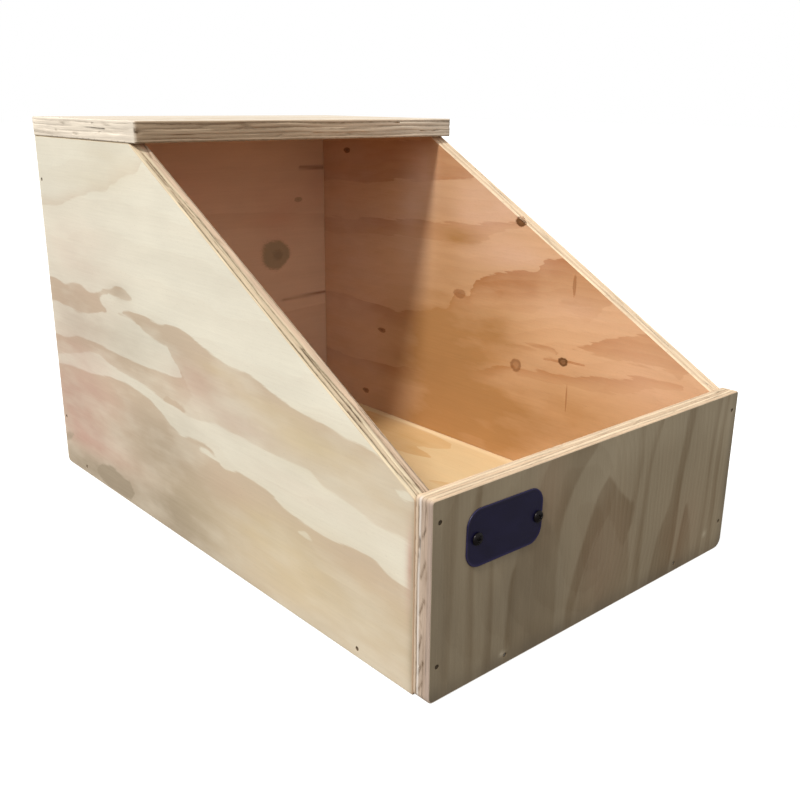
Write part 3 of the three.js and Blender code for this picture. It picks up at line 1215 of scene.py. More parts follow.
@dataclass
class SideBoard(PlyBoard):
    """A side board: level at the back under the roof, and sloping down to the front board.

    Attributes:
        foot: height of the slope's lower end
        roof_overhang: how far the roof board reaches over the slope's upper end
    """

    foot: float = 121 * MM
    roof_overhang: float = 12 * MM

    def slope_top(self) -> float:
        """Place along the run where the slope ends under the roof board."""
        return node_box("roof_board")[0][1] + self.roof_overhang - self.origin[1]

    def bends(self) -> tuple[float, ...]:
        """The slope's upper end is the only bend."""
        return (self.slope_top(),)

    def top_edge(self, run: Array) -> Array:
        """A straight slope from the foot up to the bend, and level from there."""
        return np.interp(run, [0, self.slope_top()], [self.foot, self.size[1]])

    def round_corners(self, flat: Array) -> None:
        """Rounds the lower back corner, and just breaks the slope's foot by sanding."""
        soften_corner(flat, flat[-1, 0].copy(), -ALONG, UPWARD, self.corner - self.arris)
        slope = np.array([self.slope_top(), self.size[1] - self.foot])
        soften_corner(flat, flat[0, -1].copy(), slope / np.linalg.norm(slope), -UPWARD, 1.8 * MM)


@dataclass
class LeftSide(SideBoard):
    """The left side board, whose outer face is the largest one in sight."""

    def outer_veneer(self) -> Veneer:
        """Cream wood with two long tan bands that a pale tongue splits from the back."""
        upper = Streak((
            (0, 94, 124), (29, 95, 133), (45, 95, 137), (60, 97.5, 139), (80, 100.5, 140), (95, 103, 142),
            (105, 107, 142), (130, 107.5, 145), (150, 107.5, 149), (170, 108, 154), (200, 108, 155),
            (215, 108.5, 158), (230, 106.5, 161), (245, 104.5, 165), (255, 104, 167), (262, 105.5, 168),
            (275, 107, 168), (290, 107, 165.5), (300, 109, 166), (310, 113, 167.5), (320, 124, 168),
            (330, 150, 167.5), (340, 161, 166.5), (350, 161.5, 165), (357, 162, 163.5),
        ), 1.0, fade_share=0.5)
        rear = Streak((
            (363, 176, 178), (372, 175.5, 178), (378, 159.5, 177), (386, 158.5, 175), (395, 156, 172.5),
            (410, 153.3, 171.5), (420, 151.5, 174), (440, 150.5, 174), (450, 152, 171.5), (462, 152, 171),
            (472, 152.5, 173), (490, 152, 173),
        ), 1.0, Crisp.BOTH)
        lower = Streak(tuple((along, -90, high) for along, high in (
            (0, 66), (40, 69.5), (45, 72), (60, 72.5), (75, 70.5), (95, 69), (110, 70), (130, 72.5),
            (140, 74.5), (150, 78), (165, 80), (190, 81), (215, 80.5), (222, 86.5), (230, 88.5), (240, 89),
            (255, 88), (270, 86.5), (277, 89), (285, 91.5), (295, 96), (300, 98), (310, 101), (325, 103.5),
            (340, 105.5), (360, 106), (380, 105), (400, 102), (420, 99.5), (440, 98.5), (460, 97.5),
            (490, 94),
        )))
        crown = Streak((
            (297, 281, 296), (306, 273, 290), (312, 270.5, 286), (320, 269.5, 285), (335, 265.5, 281),
            (345, 261.5, 278), (352, 260, 275), (357, 256, 271), (365, 254.5, 267), (380, 253.5, 265),
            (390, 252, 263), (400, 249, 260), (412, 247, 258), (420, 245.5, 257), (430, 243, 255),
            (440, 240.5, 252), (450, 237.5, 250), (460, 236, 248), (475, 235, 247), (490, 234, 246),
        ), 0.4, Crisp.LOW, 0.0)
        heel = Streak((
            (359.5, 6, 15), (361, 4, 18), (366, 3, 18.5), (376, 2, 19.5), (385, 2, 21), (392, 2, 23.5),
            (397, 2, 23), (405, 2, 20.5), (415, 4, 18.5), (424, 8, 12),
        ), 0.75, Crisp.BOTH)
        patch = Streak((
            (331, 177, 178), (337, 175.5, 181), (345, 175, 183.5), (352, 174.5, 184), (358, 174, 183),
            (366, 175.5, 180), (374, 176.5, 178.5), (382, 176.5, 177.5),
        ), 1.0, Crisp.BOTH)
        thread = Streak(((262, 106.4, 107.6), (275, 107, 108.4), (288, 107.9, 109)), 1.3, Crisp.BOTH)
        branch = Streak((
            (262, 109, 134), (285, 109.5, 132), (300, 110, 130), (320, 112, 129.5), (340, 113.5, 129),
            (357, 114.5, 129), (380, 116, 129.5), (400, 120, 130), (420, 118, 130), (440, 113.5, 130),
            (460, 109, 124), (480, 105, 122.5), (490, 103, 121.5),
        ), 1.15, fade_share=0.55)
        tongue = Streak((
            (261, 132, 134), (265, 131, 139), (270, 130, 142), (275, 129.5, 146), (278, 129, 150),
            (285, 129, 151.5), (300, 128.5, 153), (310, 128, 155), (320, 128, 158), (330, 128, 160.5),
            (345, 128, 162), (362, 128, 161), (380, 128, 158.5), (395, 129, 156), (410, 129, 153),
            (420, 129, 151), (440, 128, 150.3), (450, 126, 151.7), (460, 123.5, 152), (490, 121.5, 152),
        ))
        notch = Streak((
            (350, 163.5, 175), (372, 162, 175), (380, 162.5, 173.5), (386, 165, 171), (389, 167, 169),
        ))
        sliver = Streak(((216, 80.5, 83.5), (224, 81, 84.5), (232, 82, 86), (241, 82, 84)))
        corner = Streak(((472, 29, 32), (479, 24, 31.5), (486, 21, 29), (490, 20, 27)), 0.5, Crisp.BOTH)
        scuff = Streak(((15, 119, 121), (20, 117.5, 123.5), (25, 118.5, 122.5), (29, 121, 122)))
        fleck = Streak(((106, 62, 62.5), (113, 61, 65), (121, 62, 63)))
        return Veneer(
            streaks=(upper, rear, lower, crown, patch, thread, branch),
            gaps=(tongue, notch, sliver, scuff, fleck),
            stains=(heel, corner),
            blush=clouds(
                (462, 74, 60, 26, 0.7), (450, 38, 60, 24, 0.55), (395, 84, 50, 18, 0.35),
                (450, 112, 70, 16, 0.35), (430, 195, 80, 40, 0.22), (440, 140, 70, 24, 0.25),
                (15.5, 74, 3.6, 30, 0.9), (250, 128, 40, 20, 0.25), (400, 34, 80, 15, 0.4),
                (236, 136, 30, 12, 0.2), (185, 117, 34, 8, 0.35), (110, 92, 70, 8, 0.12),
                (200, 62, 40, 12, 0.25), (60, 60, 40, 12, 0.2),
            ),
            dusk=clouds(
                (300, 62, 60, 40, 0.5), (280, 14, 54, 24, 0.6), (240, 20, 50, 40, 0.35),
                (385, 14, 66, 16, 0.45), (455, 8, 70, 14, 0.7), (352, 179, 20, 6, 0.5),
                (340, 143, 70, 22, 0.3), (440, 140, 60, 26, 0.22), (250, -8, 260, 10, 0.4),
                (13.4, 60, 1.8, 90, 0.8), (220, 92, 110, 14, 0.14), (14.5, 36, 3.2, 34, 0.6),
            ),
            glow=clouds(
                (110, 35, 130, 36, 0.6), (60, 120, 90, 22, 0.35), (350, 279, 56, 14, 0.2),
                (380, 262, 60, 8, 0.2), (112, 126, 40, 8, 0.4), (150, 137, 36, 6, 0.35),
                (210, 148, 30, 5, 0.35), (150, 52, 40, 12, 0.35),
            ),
            ring_gap=26, seed=3,
        )

    def inner_veneer(self) -> Veneer:
        """Plain warm wood with faint rings, hardly seen."""
        return Veneer(ring_gap=17, arch=(150, 110), arch_pull=0.5, seed=23)

    def cracks(self) -> tuple[Crack, ...]:
        """Open glue lines along the slope, splinters near its upper end, and painted shade along the inner
        arris, with two short darker places on it.
        """
        return (
            # Painted shade: a dark line all along the slope's inner arris, where the inside of the box is in
            # shadow.
            Crack(TOP, ((0, 11.8), (80, 12.0), (160, 11.7), (292, 11.8)), 0.85, 0.45, 0.2),
            Crack(TOP, (
                (0, 7.6), (25, 8.2), (45, 8.4), (90, 6.2), (150, 6.0), (210, 6.6), (250, 5.6), (292, 4.4),
            ), 0.95, 0.6, 0.3),
            Crack(TOP, ((0, 9.4), (20, 9.6), (60, 10.4)), 0.7, 0.4),
            Crack(TOP, ((52, 5.0), (84, 4.6), (108, 4.9)), 1.0, 0.7, 0.4),
            Crack(TOP, (
                (18, 2.0), (50, 2.1), (90, 1.2), (150, 1.4), (210, 1.7), (240, 1.9),
            ), 0.97, 0.55, 0.3),
            Crack(TOP, ((258, 3.6), (270, 3.1), (284, 2.8)), 0.95, 0.6, 0.4),
            Crack(TOP, ((226, 4.0), (238, 3.4), (252, 3.6)), 0.8, 0.5, 0.3),
            Crack(TOP, ((288, 8.8), (300, 10.6)), 0.9, 0.6, 0.4),
            Crack(TOP, ((40, 11.6), (70, 11.9)), 0.9, 0.5, 0.4),
            Crack(TOP, ((118, 11.8), (127, 11.9)), 0.9, 0.5, 0.4),
        )

    def edge_tints(self, loop: Array, normal: Array, depth: Array) -> Values:
        """A greyer front edge, and a slope that is pink along its inner half."""
        rows = np.ones_like(depth)[:, None]
        slope = (normal[:, 1] > 0.3) & (normal[:, 0] < -0.3)
        return {
            "dusk": 0.85 * np.clip(-normal[:, 0] - 0.7, 0, 0.3)[None, :] / 0.3 * rows,
            "blush": 0.8 * slope[None, :] * smooth(depth, 6.2 * MM, 8.2 * MM)[:, None],
        }


@dataclass
class RightSide(SideBoard):
    """The right side board, whose inner face shows through the open top."""

    def outer_veneer(self) -> Veneer:
        """Cream wood with a tall arch of rings and two soft bands."""
        return Veneer(
            streaks=(
                Streak(((0, 36, 76), (150, 52, 94), (300, 40, 88), (490, 55, 100)), 0.75),
                Streak(((120, 152, 154), (220, 146, 171), (340, 158, 189), (490, 143, 177)), 0.6),
            ),
            glow=clouds((150, 60, 130, 50, 0.4)),
            ring_gap=19, arch=(390, 214), arch_pull=0.55, seed=41,
        )

    def inner_veneer(self) -> Veneer:
        """Orange-brown wood with ragged darker bands that fall towards the back, and its knots; some patches
        are painted light in its shaded back part and painted shade on its lit part.
        """
        ragged = Streak((
            (130, 150, 210), (150, 160, 206), (165, 160, 199), (178, 158, 196), (184, 154, 188),
            (200, 150, 184.5), (220, 148, 180.5), (240, 146, 175), (250, 143, 170.5), (257, 138, 165),
            (260, 138, 157), (272, 134, 155), (282, 128, 152), (286, 124, 143), (292, 120, 137.5),
            (305, 116, 135), (320, 110, 130), (345, 104, 126), (400, 101, 125), (440, 101, 128),
            (490, 98, 124),
        ), 0.95, fade_share=0.12)
        front = Streak((
            (40, 126, 142), (59, 130, 152), (75, 130, 152.5), (90, 129, 149), (105, 127, 143),
            (118, 127.5, 137.5), (130, 128.5, 134), (142, 128.5, 130),
        ), 0.6, fade_share=0.6)
        trail = Streak((
            (205, 96, 101), (225, 86, 95.5), (240, 76, 89), (255, 70, 85), (270, 66, 82), (280, 62, 77.5),
            (290, 60, 74.5), (300, 58, 72), (325, 56, 70), (335, 56, 72), (345, 55, 70.5), (360, 53, 66.5),
            (400, 50, 64.5), (490, 46, 61),
        ), 0.9, fade_share=0.1)
        upper = Streak((
            (205, 222, 224.5), (215, 220, 223.5), (230, 213, 222.2), (240, 209, 221.5), (250, 203.5, 220.5),
            (260, 202, 219), (290, 200.5, 217), (318, 199.5, 215.5), (350, 198, 213.5), (400, 195, 210),
            (440, 191, 207.5), (490, 188, 205),
        ), 0.85, fade_share=0.55)
        low_front = Streak((
            (39, 116, 120), (60, 112, 119), (80, 106, 117.5), (100, 101, 113.5), (120, 98, 109.5),
            (145, 97, 105.5), (170, 95, 103.5), (200, 93, 100),
        ), 0.6, fade_share=0.3)
        brow = Streak((
            (157, 120.5, 122), (164, 122.5, 125), (175, 121, 124), (190, 119, 121.8), (215, 116, 118.5),
        ), 0.4)
        lash = Streak(((118, 164.5, 166.5), (130, 164, 166), (140, 163.5, 165.5), (156, 163, 164.5)), 0.4)
        whisker = Streak(((128, 117, 118.2), (140, 116.2, 117.6), (148, 115.4, 116.8)), 0.7, Crisp.BOTH)
        tail = Streak(((154, 114, 116), (162, 113.4, 114.8), (172, 112.6, 113.8)), 0.5, Crisp.BOTH)
        flame = Streak(((232, 152, 172), (240, 152, 171), (250, 153, 168), (257, 154, 163)), 0.8)
        top = Streak((
            (262, 258, 262), (275, 256.5, 275), (290, 255, 284), (318, 252.5, 286), (350, 251, 286),
            (400, 246, 284), (490, 240, 280),
        ), 0.8, Crisp.LOW, 0.6)
        return Veneer(
            streaks=(ragged, front, trail, upper, low_front, brow, lash, whisker, tail, flame, top),
            knots=(
                Knot((204.4, 225.9), 3.9, 1.35, wood=0.9, rim=0.5),
                Knot((151.1, 115.4), 3.4, 1.4, wood=0.65, rim=0.8, heart=0.3),
                Knot((202.8, 101.5), 5.5, 1.05, wood=0.12, rim=0.36, heart=0.1),
                Knot((144.3, 180.5), 8.0, 0.2, wood=0.25, rim=0.0),
                Knot((145.4, 85.0), 11.0, 0.06, wood=0.25, rim=0.0),
                Knot((274.5, 153.8), 4.0, 1.8, wood=0.3, rim=0.0),
                Knot((439, 274), 2.6, 1.9, wood=0.6, rim=0.0, heart=0.4),
                Knot((384, 99.4), 2.3, 2.4, wood=0.5, rim=0.0, heart=0.4),
                Knot((409.8, 29.4), 2.6, 1.8, wood=0.5, rim=0.0, heart=0.3),
            ),
            # The blush patch at 325 along the grain is painted light in the shade just behind the roof's
            # shadow edge; the others are pink wood.
            blush=clouds(
                (246, 232, 56, 30, 0.65), (325, 258, 16, 26, 0.6), (215, 196, 50, 12, 0.5),
                (60, 118, 60, 30, 0.3), (130, 160, 60, 14, 0.3),
            ),
            # Painted light: both dusk patches mix in the finish's paler grey, lifting the shade at the back
            # of this face and just behind the roof's shadow edge.
            dusk=clouds((450, 150, 80, 300, 0.7), (342, 215, 20, 70, 0.5)),
            # Partly painted shade: besides this face's golden-brown wood, the glow patches darken the lit
            # wood towards the bottom and towards the roof's shadow edge.
            glow=clouds(
                (300, 66, 70, 60, 0.75), (210, 44, 66, 30, 0.85), (296, 215, 22, 60, 0.35),
                (284, 100, 60, 60, 0.9), (226, 128, 36, 18, 0.5), (285, 14, 80, 18, 0.7),
                (130, 70, 70, 34, 0.55), (278, 206, 28, 8, 0.9),
            ),
            ring_gap=15, arch=(98, 122), arch_pull=0.25, seed=7,
        )

    def cracks(self) -> tuple[Crack, ...]:
        """One faint glue line along the slope, and small splits over the knot."""
        return (
            Crack(TOP, ((0, 9.2), (60, 9.0), (120, 9.6), (200, 8.6), (292, 9.2)), 0.35, 0.4),
            Crack(TOP, ((150, 10.6), (175, 10.2), (186, 9.8)), 0.6, 0.5, 0.3),
            Crack(TOP, ((196, 10.6), (206, 10.0)), 0.7, 0.5, 0.3),
        )


@dataclass
class BackPanel(PlyBoard):
    """The back panel between the side boards."""

    def outer_veneer(self) -> Veneer:
        """Nested arches of rings and a few soft bands."""
        return Veneer(
            streaks=(
                Streak(((0, 60, 82), (120, 66, 98), (305, 52, 80)), 0.6),
                Streak(((60, 196, 198), (170, 190, 222), (305, 200, 225)), 0.6),
            ),
            knots=(Knot((96, 150), 7.0, 1.3, heart=0.5),),
            ring_gap=16, arch=(110, 140), arch_pull=0.8, seed=51,
        )

    def inner_veneer(self) -> Veneer:
        """Dark warm wood with one large knot and a few thin marks."""
        return Veneer(
            streaks=(
                Streak(((90, 92, 100), (296, 100, 113)), 0.4),
                Streak(((0, 189, 201), (150, 201, 216), (305, 192, 207)), 0.35),
            ),
            knots=(
                Knot((227.9, 170.8), 14.2, 1.12, wood=0.74, rim=0.05, heart=0.4, lean=(6.0, -1.5)),
                Knot((258.8, 224.2), 2.4, 1.9, wood=0.45, rim=0.05, heart=0.2),
            ),
            blush=clouds((235, 214, 30, 28, 0.55), (284, 236, 20, 26, 0.4), (120, 240, 60, 30, 0.4)),
            stains=(
                Streak(((261, 254.6, 257.6), (278, 254.0, 257.0), (294, 253.8, 256.8)), 1.0, Crisp.BOTH),
                Streak(((236, 121.8, 124.2), (265, 122.6, 125.2), (294, 123.4, 126.4)), 0.9, Crisp.BOTH),
            ),
            ring_gap=24, seed=57,
        )


@dataclass
class FloorPanel(PlyBoard):
    """The floor panel between the side boards."""

    def outer_veneer(self) -> Veneer:
        """The underside: wide arches of rings."""
        return Veneer(ring_gap=21, arch=(290, 150), arch_pull=0.7, seed=61)

    def inner_veneer(self) -> Veneer:
        """Honey-coloured wood with soft drops of darker grain, and painted shade along the back wall."""
        return Veneer(
            streaks=(
                Streak((
                    (252, 240, 241), (257, 237, 243), (264, 234, 245), (275, 232, 247), (290, 230, 250),
                    (392, 226, 250),
                ), 0.7, Crisp.BOTH),
                Streak((
                    (263, 264, 275), (265, 261, 278), (270, 257, 280), (278, 254, 281), (290, 251, 283),
                    (392, 251, 283),
                ), 0.6, Crisp.BOTH),
                Streak(((284, 248, 256), (292, 243, 262), (392, 243, 262)), 0.55, Crisp.BOTH),
                Streak(((10, 195, 213), (196, 200, 213), (215, 201, 204)), 0.5),
                Streak(((60, 100, 118), (250, 96, 124), (470, 104, 120)), 0.5),
            ),
            blush=clouds((275, 287.5, 110, 3.6, 0.9)),
            # Painted shade: the dusk patch darkens the floor along the back wall, in the corner under the
            # roof.
            dusk=clouds((470, 250, 30, 90, 0.5)),
            ring_gap=30, seed=67,
        )


@dataclass
class FrontBoard(PlyBoard):
    """The low front board, nailed across the ends of the side boards and the floor."""

    def outer_veneer(self) -> Veneer:
        """Upright grain: brown streaks on both sides of a soft pointed arch, and painted shade along the
        foot.
        """
        low = Crisp.LOW
        return Veneer(
            streaks=(
                Streak(((0, 7, 14), (60, 8, 17), (124, 9, 19)), 0.5),
                Streak(((0, 28, 35), (40, 28, 34), (80, 28, 33), (124, 33, 38)), 0.8),
                Streak(((0, 43, 50), (30, 44, 50), (72, 45, 49)), 0.8),
                Streak((
                    (0, 62.5, 107), (30, 63, 107), (60, 66, 107), (70, 70, 108), (85, 76, 112),
                    (100, 84, 120), (110, 88, 128), (118, 92, 137), (124, 96, 142),
                ), 0.55, fade_share=0.75),
                Streak(((0, 62, 73), (20, 62.5, 72), (45, 64, 74), (60, 67, 73)), 0.85, low),
                Streak(((34, 85, 86), (60, 85, 89), (80, 88, 93), (110, 92, 98)), 0.45, Crisp.BOTH),
                Streak(((10, 103, 107), (30, 103.5, 107), (58, 104, 107)), 0.8),
                Streak((
                    (0, 118, 126), (20, 120, 129), (40, 125, 137), (60, 133, 147), (75, 139, 158),
                    (84, 143, 160), (90, 147, 161), (94, 151, 158),
                ), 0.68, Crisp.BOTH),
                Streak((
                    (46, 173, 178), (52, 170, 182), (58, 167, 184), (64, 163, 185), (70, 159, 182),
                    (77, 155, 175), (84, 151, 167), (92, 151, 160), (94, 153, 158),
                ), 0.55, Crisp.BOTH),
                Streak(((0, 128, 186), (30, 134, 184), (60, 146, 176), (80, 150, 164)), 0.34, Crisp.BOTH),
                Streak((
                    (0, 187, 197), (40, 190, 198), (60, 193, 199), (90, 196, 201), (110, 200, 206),
                    (124, 206, 212),
                ), 0.7),
                Streak(((55, 178, 184), (80, 182, 188), (100, 184, 191), (124, 184, 190)), 0.45),
                Streak((
                    (0, 209, 234), (15, 212, 237), (35, 217, 239), (55, 227, 240), (75, 232, 242),
                    (95, 237, 246), (124, 242, 251),
                ), 0.9, fade_share=0.55),
                Streak((
                    (0, 240, 262), (20, 243, 260), (34, 246, 257), (44, 248, 254), (50, 250, 252),
                ), 0.75, low, 0.6),
                Streak(((0, 268, 274), (50, 272, 278), (85, 274, 279), (124, 279, 284)), 0.6),
                Streak(((0, 282, 289), (50, 283, 289), (85, 284, 290), (124, 289, 294)), 0.7),
            ),
            blush=clouds((104, 96, 26, 14, 0.5), (40, 155, 40, 24, 0.4), (30, 250, 30, 30, 0.25)),
            # The first dusk patch is painted shade along the whole foot of the board, where it stands on the
            # floor.
            dusk=clouds(
                (0, 150, 9, 400, 0.6), (62, 303, 90, 4, 0.6), (30, 0, 90, 26, 0.35), (42, 78, 40, 46, 0.4),
            ),
            glow=clouds(
                (17.7, 279.7, 2.4, 2.4, 0.45), (8.4, 60.5, 1.6, 2.4, 0.5), (116, 190, 16, 130, 0.1),
                (100, 292, 26, 18, 0.1), (92, 146, 14, 16, 0.1),
            ),
            ring_gap=11, arch=(55, 152), arch_pull=0.6, seed=71,
        )

    def inner_veneer(self) -> Veneer:
        """Plain upright grain."""
        return Veneer(ring_gap=13, arch=(0, 120), arch_pull=0.5, seed=73)

    def corner_radius(self, i: int, j: int) -> float:
        """The lower right corner is rounder than the others, and the upper ones are nearly square."""
        return {(-1, 0): 7.5 * MM, (0, 0): self.corner}.get((i, j), 2.4 * MM)

    def cracks(self) -> tuple[Crack, ...]:
        """Slanting splits down the left end, and glue lines along the top edge."""
        ends = ((9.4, 2.8, 8.4, 5.4, 0.97), (21.2, 3.8, 8.4, 4.9, 0.98), (36.8, 3.8, 8.2, 6.4, 0.97))
        ends += ((59, 4.4, 8.2, 4.9, 0.95), (82.2, 4.8, 7.4, 4.3, 0.93), (104, 2.6, 6.8, 4.3, 0.86))
        splits = tuple(
            Crack(LEFT_END, ((at - half, deep), (at + half, shallow)), dark, 0.75, 0.35)
            for at, half, deep, shallow, dark in ends
        )
        return splits + (
            Crack(LEFT_END, ((4, 10.5), (36, 10.6), (60, 10.3), (92, 10.1), (118, 10.5)), 0.8, 0.4, 0.3),
            Crack(LEFT_END, ((94.5, 9.7), (99, 9.6)), 1.0, 1.0, 0.6),
            Crack(LEFT_END, ((4, 5.2), (50, 5.6), (118, 5.0)), 0.25, 0.5, 0.1),
            Crack(TOP, ((6, 2.2), (60, 2.6), (130, 2.0), (200, 2.7), (300, 2.2)), 0.45, 0.5),
            Crack(TOP, ((4, 5.2), (70, 4.8), (150, 5.6), (230, 4.9), (302, 5.4)), 0.5, 0.45),
            Crack(TOP, ((4, 8.0), (50, 8.4), (120, 7.6), (210, 8.3), (302, 7.8)), 0.4, 0.4),
            Crack(TOP, ((4, 10.4), (90, 10.8), (180, 10.3), (302, 10.7)), 0.3, 0.35),
        )

    def edge_tints(self, loop: Array, normal: Array, depth: Array) -> Values:
        """Greyed ends with one bright ply, and a half-greyed one behind it."""
        ends = np.abs(normal[:, 0])[None, :]
        grey = 0.95 - 0.2 * smooth(depth, 2 * MM, 3.5 * MM) - 0.3 * smooth(depth, 10.2 * MM, 11.2 * MM)
        bright = np.exp(-(((depth - 9.2 * MM) / (0.8 * MM)) ** 2))
        return {"dusk": ends * grey[:, None], "blush": 0.8 * ends * bright[:, None]}


@dataclass
class RoofBoard(PlyBoard):
    """The short flat roof board."""

    def outer_veneer(self) -> Veneer:
        """Pale wood with faint long arches."""
        return Veneer(
            streaks=(Streak(((0, 350, 368), (150, 360, 392), (305, 352, 378)), 0.5),),
            ring_gap=15, arch=(230, 390), arch_pull=0.6, seed=81,
        )

    def inner_veneer(self) -> Veneer:
        """The underside: plain warm wood."""
        return Veneer(ring_gap=18, seed=83)

    def cracks(self) -> tuple[Crack, ...]:
        """Wavy dark lines along the front edge, a void at its left end, and grey lines at the left end."""
        front = (
            Crack(FOOT, ((0, 1.8), (60, 2.2), (120, 1.7), (180, 2.4), (250, 1.8), (307, 2.2)), 0.7, 0.65),
            Crack(FOOT, (
                (0, 6.9), (22, 6.4), (38, 5.2), (60, 6.6), (90, 6.4), (130, 5.7), (180, 6.9), (240, 5.9),
                (307, 6.4),
            ), 0.6, 0.9),
            Crack(FOOT, (
                (0, 9.7), (50, 10.1), (110, 9.3), (170, 10.4), (240, 9.4), (307, 9.9),
            ), 0.25, 0.65),
            Crack(FOOT, (
                (0, 12.3), (40, 12.6), (90, 11.8), (150, 12.5), (220, 11.7), (307, 12.2),
            ), 0.5, 1.0),
            Crack(FOOT, ((0, 14.3), (307, 14.3)), 0.8, 0.5, 0.1),
            Crack(FOOT, ((0.6, 6.6), (2.0, 7.2), (3.2, 7.8)), 1.0, 1.6, 0.9),
        )
        return front + (
            Crack(LEFT_END, ((40, 2.8), (90, 2.4), (175, 3.0)), 0.3, 0.45),
            Crack(LEFT_END, ((12, 6.6), (40, 7.8), (70, 6.6)), 0.3, 0.45),
            Crack(LEFT_END, ((95, 10.2), (103, 10.6)), 0.6, 0.6, 0.4),
            Crack(LEFT_END, ((100, 12.0), (182, 11.4)), 0.4, 0.45),
        )

    def edge_tints(self, loop: Array, normal: Array, depth: Array) -> Values:
        """A front edge that is greyer at its left and paler towards its right, and a bleached left end."""
        rows = np.ones_like(depth)[:, None]
        place, (left, front) = loop[:, 0] / self.size[0], np.clip(-normal.T, 0, 1)
        grey = (0.85 - 0.85 * smooth(place, 0.2, 0.9)) * front
        pale = 0.9 * left + 0.5 * smooth(place, 0.55, 0.95) * front
        return {"dusk": grey[None, :] * rows, "blush": pale[None, :] * rows}


def revolve(profile: Array, sides: int) -> Array:
    """Turns a profile about the w axis.

    A point is (r·cos t, r·sin t, w) for each profile point (r, w) and each turn t.

    Args:
        profile: points (radius, height); the first and last lie on the axis and are left out
        sides: how many turns

    Returns:
        The points as rings of turns.
    """
    rings = profile[1:-1]
    around = rings[:, None, :1] * toward(np.linspace(0, math.tau, sides, endpoint=False))[None]
    return np.concatenate([around, np.broadcast_to(rings[:, None, 1:], (len(rings), sides, 1))], axis=-1)


@dataclass
class Fastener:
    """A turned piece driven along one direction: the base of the nails and the plate's screws.

    Attributes:
        node: the node that it stands for
        slot: its material slot in the record
        inward: the direction that it is driven in
        finish: its finish
        sides: how many faces it has round its axis
    """

    node: str
    slot: str
    inward: Way
    finish: bpy.types.Material
    sides: int = 24

    def place(self) -> tuple[Array, float]:
        """Where its head's top lies in the frame, and how long it is, from its node."""
        low, high = node_box(self.node)
        way = self.inward.vector
        length = abs((high - low) @ way)
        return (low + high) / 2 - way * length / 2, length

    def profile(self, length: float) -> Array:
        """The profile from the top of the head down to the point, as (radius, depth)."""
        raise NotImplementedError

    def carve(self, points: Array) -> Array:
        """Changes the turned points, for flats, recesses and threads."""
        return points

    def build(self) -> bpy.types.Object:
        """Builds the piece and puts it in place of its node."""
        head, length = self.place()
        profile = self.profile(length)
        work = Patchwork(())
        rings = work.add_points(self.carve(revolve(profile, self.sides))).reshape(-1, self.sides)
        top, tip = work.add_points(np.array([[0, 0, profile[0, 1]], [0, 0, profile[-1, 1]]]))
        for lower, upper in zip(rings[:-1], rings[1:]):
            work.add_faces(sewn(lower, upper)[:, ::-1])
        work.add_faces(fan(rings[0], top))
        work.add_faces(fan(rings[-1], tip)[:, ::-1])
        way = self.inward.vector
        side = np.roll(way, 1)
        axes = np.array([side, np.cross(way, side), way])
        piece = work.to_object(self.node + "_steel", axes, head)
        piece.data.materials.append(self.finish)
        settle(piece, self.slot, self.node)
        return piece


@dataclass
class FinishingNail(Fastener):
    """A wire nail with a small dished head, grip rings under it and a four-sided point.

    Attributes:
        shank: radius of the wire
        head: radius of the head
        head_height: height of the head's straight rim
        neck: height of the cone under the head
        point: length of the point
    """

    shank: float = 0.8 * MM
    head: float = 1.4 * MM
    head_height: float = 1.0 * MM
    neck: float = 0.7 * MM
    point: float = 2.4 * MM

    def profile(self, length: float) -> Array:
        """A dished top, a rolled rim, a cone, the ringed shank and the point."""
        dish, roll = 0.35 * MM, 0.15 * MM
        top = [(0.0, dish), (0.35 * self.head, 0.8 * dish), (0.6 * self.head, 0.15 * dish)]
        rim = [(self.head - roll, 0.0), (self.head, roll), (self.head, self.head_height - roll)]
        cone = [(self.head - roll, self.head_height), (self.shank, self.head_height + self.neck)]
        grip_start = self.head_height + self.neck + 0.6 * MM
        grips = np.arange(9)
        ring_depths = grip_start + np.repeat(grips, 2) * 0.9 * MM + np.tile([0, 0.25 * MM], len(grips))
        ring_radii = np.tile([self.shank, self.shank - 0.07 * MM], len(grips))
        tip = [(self.shank, length - self.point), (0.45 * self.shank, length - 0.8 * MM), (0.0, length)]
        return np.array(top + rim + cone + list(zip(ring_radii, ring_depths)) + tip)

    def carve(self, points: Array) -> Array:
        """Presses the point into four flats: the radius goes as one over the larger of |cos| and |sin|."""
        flats = np.abs(toward(np.linspace(0, math.tau, self.sides, endpoint=False))).max(axis=1)
        points[-1, :, :2] *= (0.75 / flats)[:, None]
        return points


